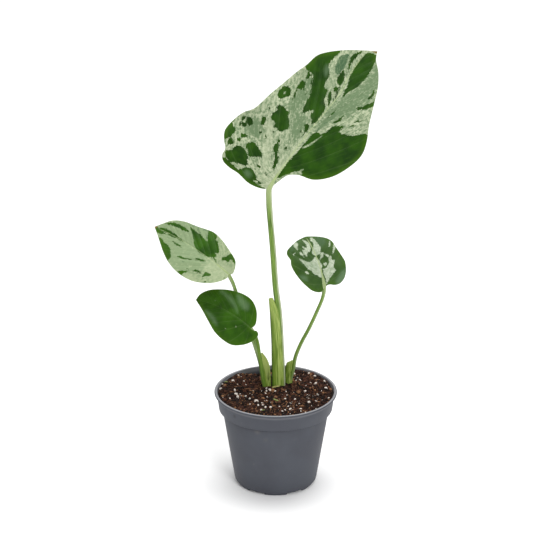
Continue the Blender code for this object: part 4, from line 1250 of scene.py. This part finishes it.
def make_grains(name, places, sizes, subdivisions, rough, flat, sink, material, draw):
    """Many uneven grains on the soil, in one mesh."""
    unit_points, unit_faces = ball(subdivisions)
    points = []
    faces = []
    tints = []
    for (x, y), size in zip(places, sizes):
        inside = min(1.0, (SOIL_REACH - 0.5 * size) / max(math.hypot(x, y), 1.0))
        x, y = x * inside, y * inside
        start = len(points)
        stretch = 1.0 + draw.uniform(-0.35, 0.35, 3)
        shape = unit_points * stretch * (1.0 + rough * draw.normal(size=(len(unit_points), 1)))
        shape = shape @ turn_matrix(draw).T
        shape[:, 2] *= flat
        z = crumble(x, y, float(soil_height(x, y))) + size * (0.5 - sink) * flat
        points.extend(map(tuple, shape * size / 2.0 + np.array((x, y, z))))
        faces.extend(tuple(start + corner for corner in face) for face in unit_faces)
        tints.extend([draw.uniform()] * len(unit_points))
    piece = make_piece(name, points, faces, material, smooth=False)
    set_values(piece, "tint", tints)
    return piece


def make_fibres(name, count, lengths, radii, material, draw, height=0.6):
    """Thin bent strands lying on the soil, in one mesh."""
    points = []
    faces = []
    tints = []
    sides = 4
    for x, y in soil_places(draw, count, 53.0):
        heading = draw.uniform(0, TAU)
        length = draw.uniform(*lengths)
        radius = draw.uniform(*radii)
        bend = draw.normal(0.0, 0.5)
        tilt = draw.normal(0.0, 0.18)
        steps = 6
        path = []
        for step in range(steps):
            share = step / (steps - 1) - 0.5
            turned = heading + bend * share
            px = x + length * share * math.cos(turned)
            py = y + length * share * math.sin(turned)
            inside = min(1.0, 54.0 / max(math.hypot(px, py), 0.001))
            px, py = px * inside, py * inside
            lift = height + tilt * length * share + 0.5 * math.sin(math.pi * (share + 0.5))
            path.append((px, py, crumble(px, py, float(soil_height(px, py))) + lift))
        path = np.array(path)
        start = len(points)
        tint = draw.uniform()
        for index, (wide, deep) in enumerate(ring_frames(path)):
            taper = radius * (1.0 - 0.7 * abs(index / (steps - 1) - 0.5))
            for side in range(sides):
                turn = TAU * side / sides
                points.append(tuple(path[index] + taper * (math.cos(turn) * wide
                                                           + math.sin(turn) * deep)))
                tints.append(tint)
        faces.extend(tuple(start + corner for corner in face)
                     for face in tube_faces(steps, sides))
    piece = make_piece(name, points, faces, material)
    set_values(piece, "tint", tints)
    return piece


def soil_skin():
    graph = Graph("soil_finish")
    place = graph.stretch(graph.object_place(), (1000.0, 1000.0, 1000.0))
    coarse = graph.noise(place, 0.5, 4.0, 0.65)
    fine = graph.noise(place, 2.0, 3.0, 0.6)
    colour = graph.mix(graph.step(coarse, 0.45, 0.75), SOIL_DARK, SOIL_BROWN)
    colour = graph.mix(graph.step(fine, 0.64, 0.80, 0.0, 0.5), colour, SOIL_TAN)
    relief = graph.bump(fine, 0.0008)
    graph.surface(Base_Color=colour, Roughness=0.95, Normal=relief, Specular_IOR_Level=0.2)
    return graph.material


def crumb_skin():
    """Crumbs and fibres: each takes its own brown from its tint."""
    graph = Graph("crumb_finish")
    place = graph.stretch(graph.object_place(), (1000.0, 1000.0, 1000.0))
    tint = graph.attribute("tint")
    colour = graph.mix(graph.step(tint, 0.2, 0.75), SOIL_DARK, SOIL_BROWN)
    colour = graph.mix(graph.step(tint, 0.80, 1.0), colour, SOIL_TAN)
    grain = graph.noise(place, 1.6, 3.0, 0.6)
    colour = graph.mix(graph.step(grain, 0.4, 0.8, 0.0, 0.5), colour, SOIL_DARK)
    relief = graph.bump(grain, 0.0004)
    graph.surface(Base_Color=colour, Roughness=0.9, Normal=relief, Specular_IOR_Level=0.25)
    return graph.material


def perlite_skin():
    graph = Graph("perlite_finish")
    place = graph.stretch(graph.object_place(), (1000.0, 1000.0, 1000.0))
    pits = graph.cells(place, 1.6)
    stain = graph.noise(place, 0.9, 3.0, 0.6)
    colour = graph.mix(graph.step(stain, 0.55, 0.8, 0.0, 0.6), PERLITE_WHITE, SOIL_TAN)
    relief = graph.bump(pits, 0.0004)
    graph.surface(Base_Color=colour, Roughness=0.85, Normal=relief, Specular_IOR_Level=0.3)
    return graph.material


def plain_skin(name, first, second, scale=0.8, roughness=0.6):
    """A mottled finish between two colours."""
    graph = Graph(name)
    place = graph.stretch(graph.object_place(), (1000.0, 1000.0, 1000.0))
    mottle = graph.noise(place, scale, 3.0, 0.6)
    colour = graph.mix(graph.step(mottle, 0.35, 0.7), first, second)
    graph.surface(Base_Color=colour, Roughness=roughness, Normal=graph.bump(mottle, 0.0003))
    return graph.material


def dress_soil():
    draw = np.random.default_rng(SCATTER_SEED)
    bed = make_soil(soil_skin())
    settle(bed, "soil", "soil")
    crumbs = crumb_skin()
    sizes = 0.7 + 1.1 * draw.random(SMALL_CRUMBS)
    piece = make_grains("soil_crumbs", soil_places(draw, SMALL_CRUMBS), sizes, 1, 0.16, 0.9, 0.25,
                        crumbs, draw)
    settle(piece, "soil")
    sizes = 1.8 + 2.0 * draw.random(LARGE_CRUMBS) ** 2
    piece = make_grains("soil_lumps", soil_places(draw, LARGE_CRUMBS, 54.0), sizes, 2, 0.10, 0.8,
                        0.3, crumbs, draw)
    settle(piece, "soil")
    piece = make_fibres("soil_fibres", FIBRES, (3.0, 9.0), (0.14, 0.42), crumbs, draw)
    settle(piece, "soil")
    grains = soil_places(draw, PERLITE_GRAINS, 54.0)
    sizes = list(0.9 + 1.5 * draw.random(PERLITE_GRAINS) ** 2)
    grains += [(x, y) for x, y, size in PERLITE_PLACES]
    sizes += [0.85 * size for x, y, size in PERLITE_PLACES]
    piece = make_grains("perlite", grains, sizes, 2, 0.11, 0.85, 0.25, perlite_skin(), draw)
    settle(piece, "soil")
    bits = plain_skin("green_bit_finish", srgb(110, 130, 60), srgb(160, 170, 100))
    piece = make_fibres("green_bits", GREEN_BITS, (2.5, 6.0), (0.4, 0.8), bits, draw, 0.9)
    settle(piece, "soil")


# Pot

def arc(centre, radius, start, end, steps):
    """Points on an arc of a (radius, z) profile, with angles in degrees."""
    points = []
    for angle in np.linspace(math.radians(start), math.radians(end), steps):
        points.append((centre[0] + radius * math.cos(angle), centre[1] + radius * math.sin(angle)))
    return points


def pot_profile():
    """The pot's whole section, from the underside's middle round to the floor's middle."""
    outside = [(0.0, 2.0), (20.0, 2.0), (37.6, 2.0)]
    outside += arc((38.3, 4.4), 2.3, -80, -8, 8)
    outside += [(52.2, 76.6), (51.9, 77.4)]
    outside += arc((52.5, 77.9), 0.5, 190, 95, 4)
    outside += arc((55.2, 78.5), 0.5, -90, 0, 4)
    outside += [(57.5, 92.6)]
    outside += arc((58.0, 93.1), 0.5, 190, 100, 4)
    outside += arc((58.9, 94.7), 1.1, -60, 95, 12)
    inside = arc((57.9, 95.3), 0.6, 90, 185, 6)
    inside += [(55.9, 92.5), (54.3, 80.2), (51.0, 78.6), (50.6, 78.0), (38.8, 7.5)]
    inside += arc((36.2, 6.4), 2.8, 0, -90, 6)
    inside += [(20.0, 3.6), (0.0, 3.6)]
    return outside + inside


def make_pot(material):
    profile = pot_profile()
    points = [(0.0, 0.0, profile[0][1])]
    for radius, z in profile[1:-1]:
        for segment in range(POT_SEGMENTS):
            turn = TAU * segment / POT_SEGMENTS
            points.append((radius * math.cos(turn), radius * math.sin(turn), z))
    points.append((0.0, 0.0, profile[-1][1]))
    faces = []
    rings = len(profile) - 2
    for segment in range(POT_SEGMENTS):
        following = (segment + 1) % POT_SEGMENTS
        faces.append((0, 1 + following, 1 + segment))
        for ring in range(rings - 1):
            low = 1 + ring * POT_SEGMENTS
            high = low + POT_SEGMENTS
            faces.append((low + segment, low + following, high + following, high + segment))
        last = 1 + (rings - 1) * POT_SEGMENTS
        faces.append((last + segment, last + following, len(points) - 1))
    pot = make_piece("pot_shell", points, faces, material)
    face_out(pot)
    combine(pot, pot_feet(), "UNION")
    combine(pot, drain_cutters(), "DIFFERENCE")
    pot.data.shade_smooth()
    pot.data.set_sharp_from_angle(angle=math.radians(35))
    return pot


def combine(target, other, operation):
    """Join other to target, or cut it away, and remove other."""
    modifier = target.modifiers.new(operation.lower(), "BOOLEAN")
    modifier.operation = operation
    modifier.solver = "EXACT"
    modifier.use_self = True
    modifier.object = other
    bpy.context.view_layer.objects.active = target
    with bpy.context.temp_override(object=target, active_object=target):
        bpy.ops.object.modifier_apply(modifier=modifier.name)
    bpy.data.objects.remove(other, do_unlink=True)


def block_rings(inner, outer, middle, spread, low, high, steps):
    """A block bent round the pot's axis, as rings of four points."""
    rings = []
    for step in range(steps + 1):
        turn = middle + spread * (step / steps - 0.5)
        rings.append([(radius * math.cos(turn), radius * math.sin(turn), z)
                      for radius, z in ((inner, low), (outer, low), (outer, high), (inner, high))])
    return rings


def drum_rings(centre, radius, low, high, sides):
    """A short upright cylinder, turned so that no corner meets the pot's spokes."""
    ring = []
    for side in range(sides):
        turn = TAU * (side + 0.37) / sides
        ring.append((centre[0] + radius * math.cos(turn), centre[1] + radius * math.sin(turn)))
    return [[(x, y, low) for x, y in ring], [(x, y, high) for x, y in ring]]


def join_rings(name, bodies):
    """Separate bodies, each given as rings of points, in one object."""
    points = []
    faces = []
    for rings in bodies:
        start = len(points)
        sides = len(rings[0])
        points.extend(point for ring in rings for point in ring)
        faces.extend(tuple(start + corner for corner in face)
                     for face in tube_faces(len(rings), sides))
    piece = make_piece(name, points, faces)
    face_out(piece)
    return piece


def pot_feet():
    bodies = [drum_rings((0.0, 0.0), 9.0, 0.0, 2.6, 48)]
    for foot in range(6):
        middle = -math.pi / 2 + TAU * foot / 6
        bodies.append(block_rings(33.5, 38.0, middle, math.radians(34.0), 0.0, 2.6, 12))
    return join_rings("feet", bodies)


def drain_cutters():
    bodies = []
    for hole in range(6):
        turn = -math.pi / 2 + TAU * (hole + 0.5) / 6
        bodies.append(drum_rings((27.0 * math.cos(turn), 27.0 * math.sin(turn)), 4.0, -1.0, 6.0, 32))
    return join_rings("drains", bodies)


# Old water and soil marks on the pot: place, reach, strength and colour
POT_STAINS = (
    ((-40.0, -40.6, 87.0), 3.0, 0.5, srgb(44, 42, 44)),
    ((-18.0, -48.6, 74.0), 5.0, 0.3, srgb(112, 108, 102)),
    ((-10.0, -50.0, 66.0), 4.0, 0.2, srgb(100, 96, 88)),
)


def pot_skin():
    """Matte moulded plastic: fine grain, faint flow marks, a little dust and a painted highlight on
    the rim and the walls' top.
    """
    graph = Graph("pot_finish")
    place = graph.stretch(graph.object_place(), (1000.0, 1000.0, 1000.0))
    cloud = graph.noise(place, 0.03, 3.0, 0.5)
    grain = graph.noise(place, 1.8, 2.0, 0.5)
    colour = graph.mix(graph.step(cloud, 0.3, 0.7), POT_DARK, POT_GREY)
    dust = graph.noise(place, 0.12, 5.0, 0.7)
    colour = graph.mix(graph.step(dust, 0.60, 0.8, 0.0, 0.22), colour, POT_DUST)
    for centre, reach, strength, stain in POT_STAINS:
        near = graph.math("MULTIPLY_ADD", dust, reach, graph.distance(place, centre))
        share = graph.step(near, 1.5 * reach, 0.4 * reach, 0.0, strength)
        colour = graph.mix(share, colour, stain)
    x, y, z = graph.parts(place)
    radius = graph.math("SQRT", graph.math("MULTIPLY_ADD", x, x, graph.math("MULTIPLY", y, y)))
    # Painted highlight: the rim's top and the walls' top few millimetres below it lightened,
    # standing in for light caught there
    painted_lip_highlight = graph.math("MULTIPLY", graph.step(z, 95.2, 95.7), graph.step(radius, 59.6, 59.2))
    inside = graph.math("MULTIPLY", graph.step(z, 90.0, 94.0),
                        graph.step(radius, 58.4, 58.0, 0.0, 0.6))
    colour = graph.mix(graph.math("MAXIMUM", painted_lip_highlight, inside), colour, POT_PAINTED_HIGHLIGHT)
    rough = graph.step(cloud, 0.2, 0.8, 0.46, 0.6)
    graph.surface(Base_Color=colour, Roughness=rough, Normal=graph.bump(grain, 0.00006),
                  Specular_IOR_Level=0.2)
    return graph.material


# Dried leaf scale

def make_scale(material):
    path = spline(SCALE_ROUTE, 28)
    taper = np.sqrt(np.sin(np.linspace(0.3, math.pi - 0.3, 28)))
    front = unit(np.array((0.1, -1.0, 0.0)))
    points = []
    for centre, width in zip(path, taper):
        for side in range(16):
            turn = TAU * side / 16
            tall = 0.85 * width * math.sin(turn)
            thin = 0.22 * math.cos(turn) + 0.45 * (tall / 0.85) ** 2
            points.append(centre + tall * np.array((0.0, 0.0, 1.0)) + thin * front)
    piece = make_piece("leaf_scale_strip", points, tube_faces(28, 16), material)
    face_out(piece)
    return piece


# Floor, light and camera

def make_floor():
    graph = Graph("floor_finish")
    graph.surface(Base_Color=(0.92, 0.92, 0.92, 1.0), Roughness=0.9, Specular_IOR_Level=0.1)
    size = 6000.0
    floor = make_piece("floor", ((-size, -size, 0), (size, -size, 0), (size, size, 0),
                                 (-size, size, 0)), [(0, 1, 2, 3)], graph.material)


def make_area_light(name, place, target, size, power):
    data = bpy.data.lights.new(name, "AREA")
    data.shape = "DISK"
    data.size = size
    data.energy = power
    light = bpy.data.objects.new(name, data)
    light.location = place
    light.rotation_euler = (Vector(target) - Vector(place)).to_track_quat("-Z", "Y").to_euler()
    bpy.context.scene.collection.objects.link(light)


def make_world(strength):
    world = bpy.data.worlds.new("studio")
    world.use_nodes = True
    background = world.node_tree.nodes["Background"]
    background.inputs["Color"].default_value = (1.0, 1.0, 1.0, 1.0)
    background.inputs["Strength"].default_value = strength
    bpy.context.scene.world = world


def make_camera():
    data = bpy.data.cameras.new("camera")
    data.lens = CAMERA_LENS
    data.sensor_width = CAMERA_SENSOR
    data.clip_end = 100.0
    camera = bpy.data.objects.new("camera", data)
    pitch = math.radians(CAMERA_PITCH)
    look = Vector((0.0, math.cos(pitch), -math.sin(pitch)))
    camera.location = Vector(CAMERA_TARGET) - CAMERA_DISTANCE * look
    camera.rotation_euler = (math.pi / 2 - pitch, 0.0, 0.0)
    bpy.context.scene.collection.objects.link(camera)
    bpy.context.scene.camera = camera


def main():
    make_world(WORLD_STRENGTH)
    make_camera()
    make_floor()
    for light in LIGHTS:
        make_area_light(*light)
    bpy.context.scene.view_settings.view_transform = "Standard"

    pot = make_pot(pot_skin())
    settle(pot, "pot_plastic", "pot")
    dress_soil()
    scale = make_scale(plain_skin("scale_finish", srgb(150, 150, 80), srgb(196, 190, 120)))
    settle(scale, "leaf_scale", "leaf_scale")
    root_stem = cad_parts["root_stem"]
    root_stem.data.materials.clear()
    root_stem.data.materials.append(plain_skin("root_finish", ROOT_BROWN, ROOT_PALE))

    stalk_finish = stalk_skin("stalk_finish", 0.35)
    tall_finish = stalk_skin("tall_stalk_finish", 0.9)
    sheath_finish = sheath_skin("sheath_finish")
    pairs = ((TALL, TALL_STALK), (LEFT, LEFT_STALK), (GREEN, GREEN_STALK), (RIGHT, RIGHT_STALK))
    for leaf, stalk in pairs:
        blade = make_blade(leaf, leaf_skin(leaf, LOOKS[leaf.name]))
        settle(blade, leaf.name, leaf.name + "_blade")
        finish = tall_finish if leaf is TALL else stalk_finish
        settle(make_stalk(leaf, stalk, finish), "leaf_stalk", leaf.name + "_petiole")
        settle(make_sheath(leaf, stalk, sheath_finish), "leaf_stalk")
    settle(make_spear(TALL, TALL_STALK, sheath_finish), "leaf_stalk")


main()
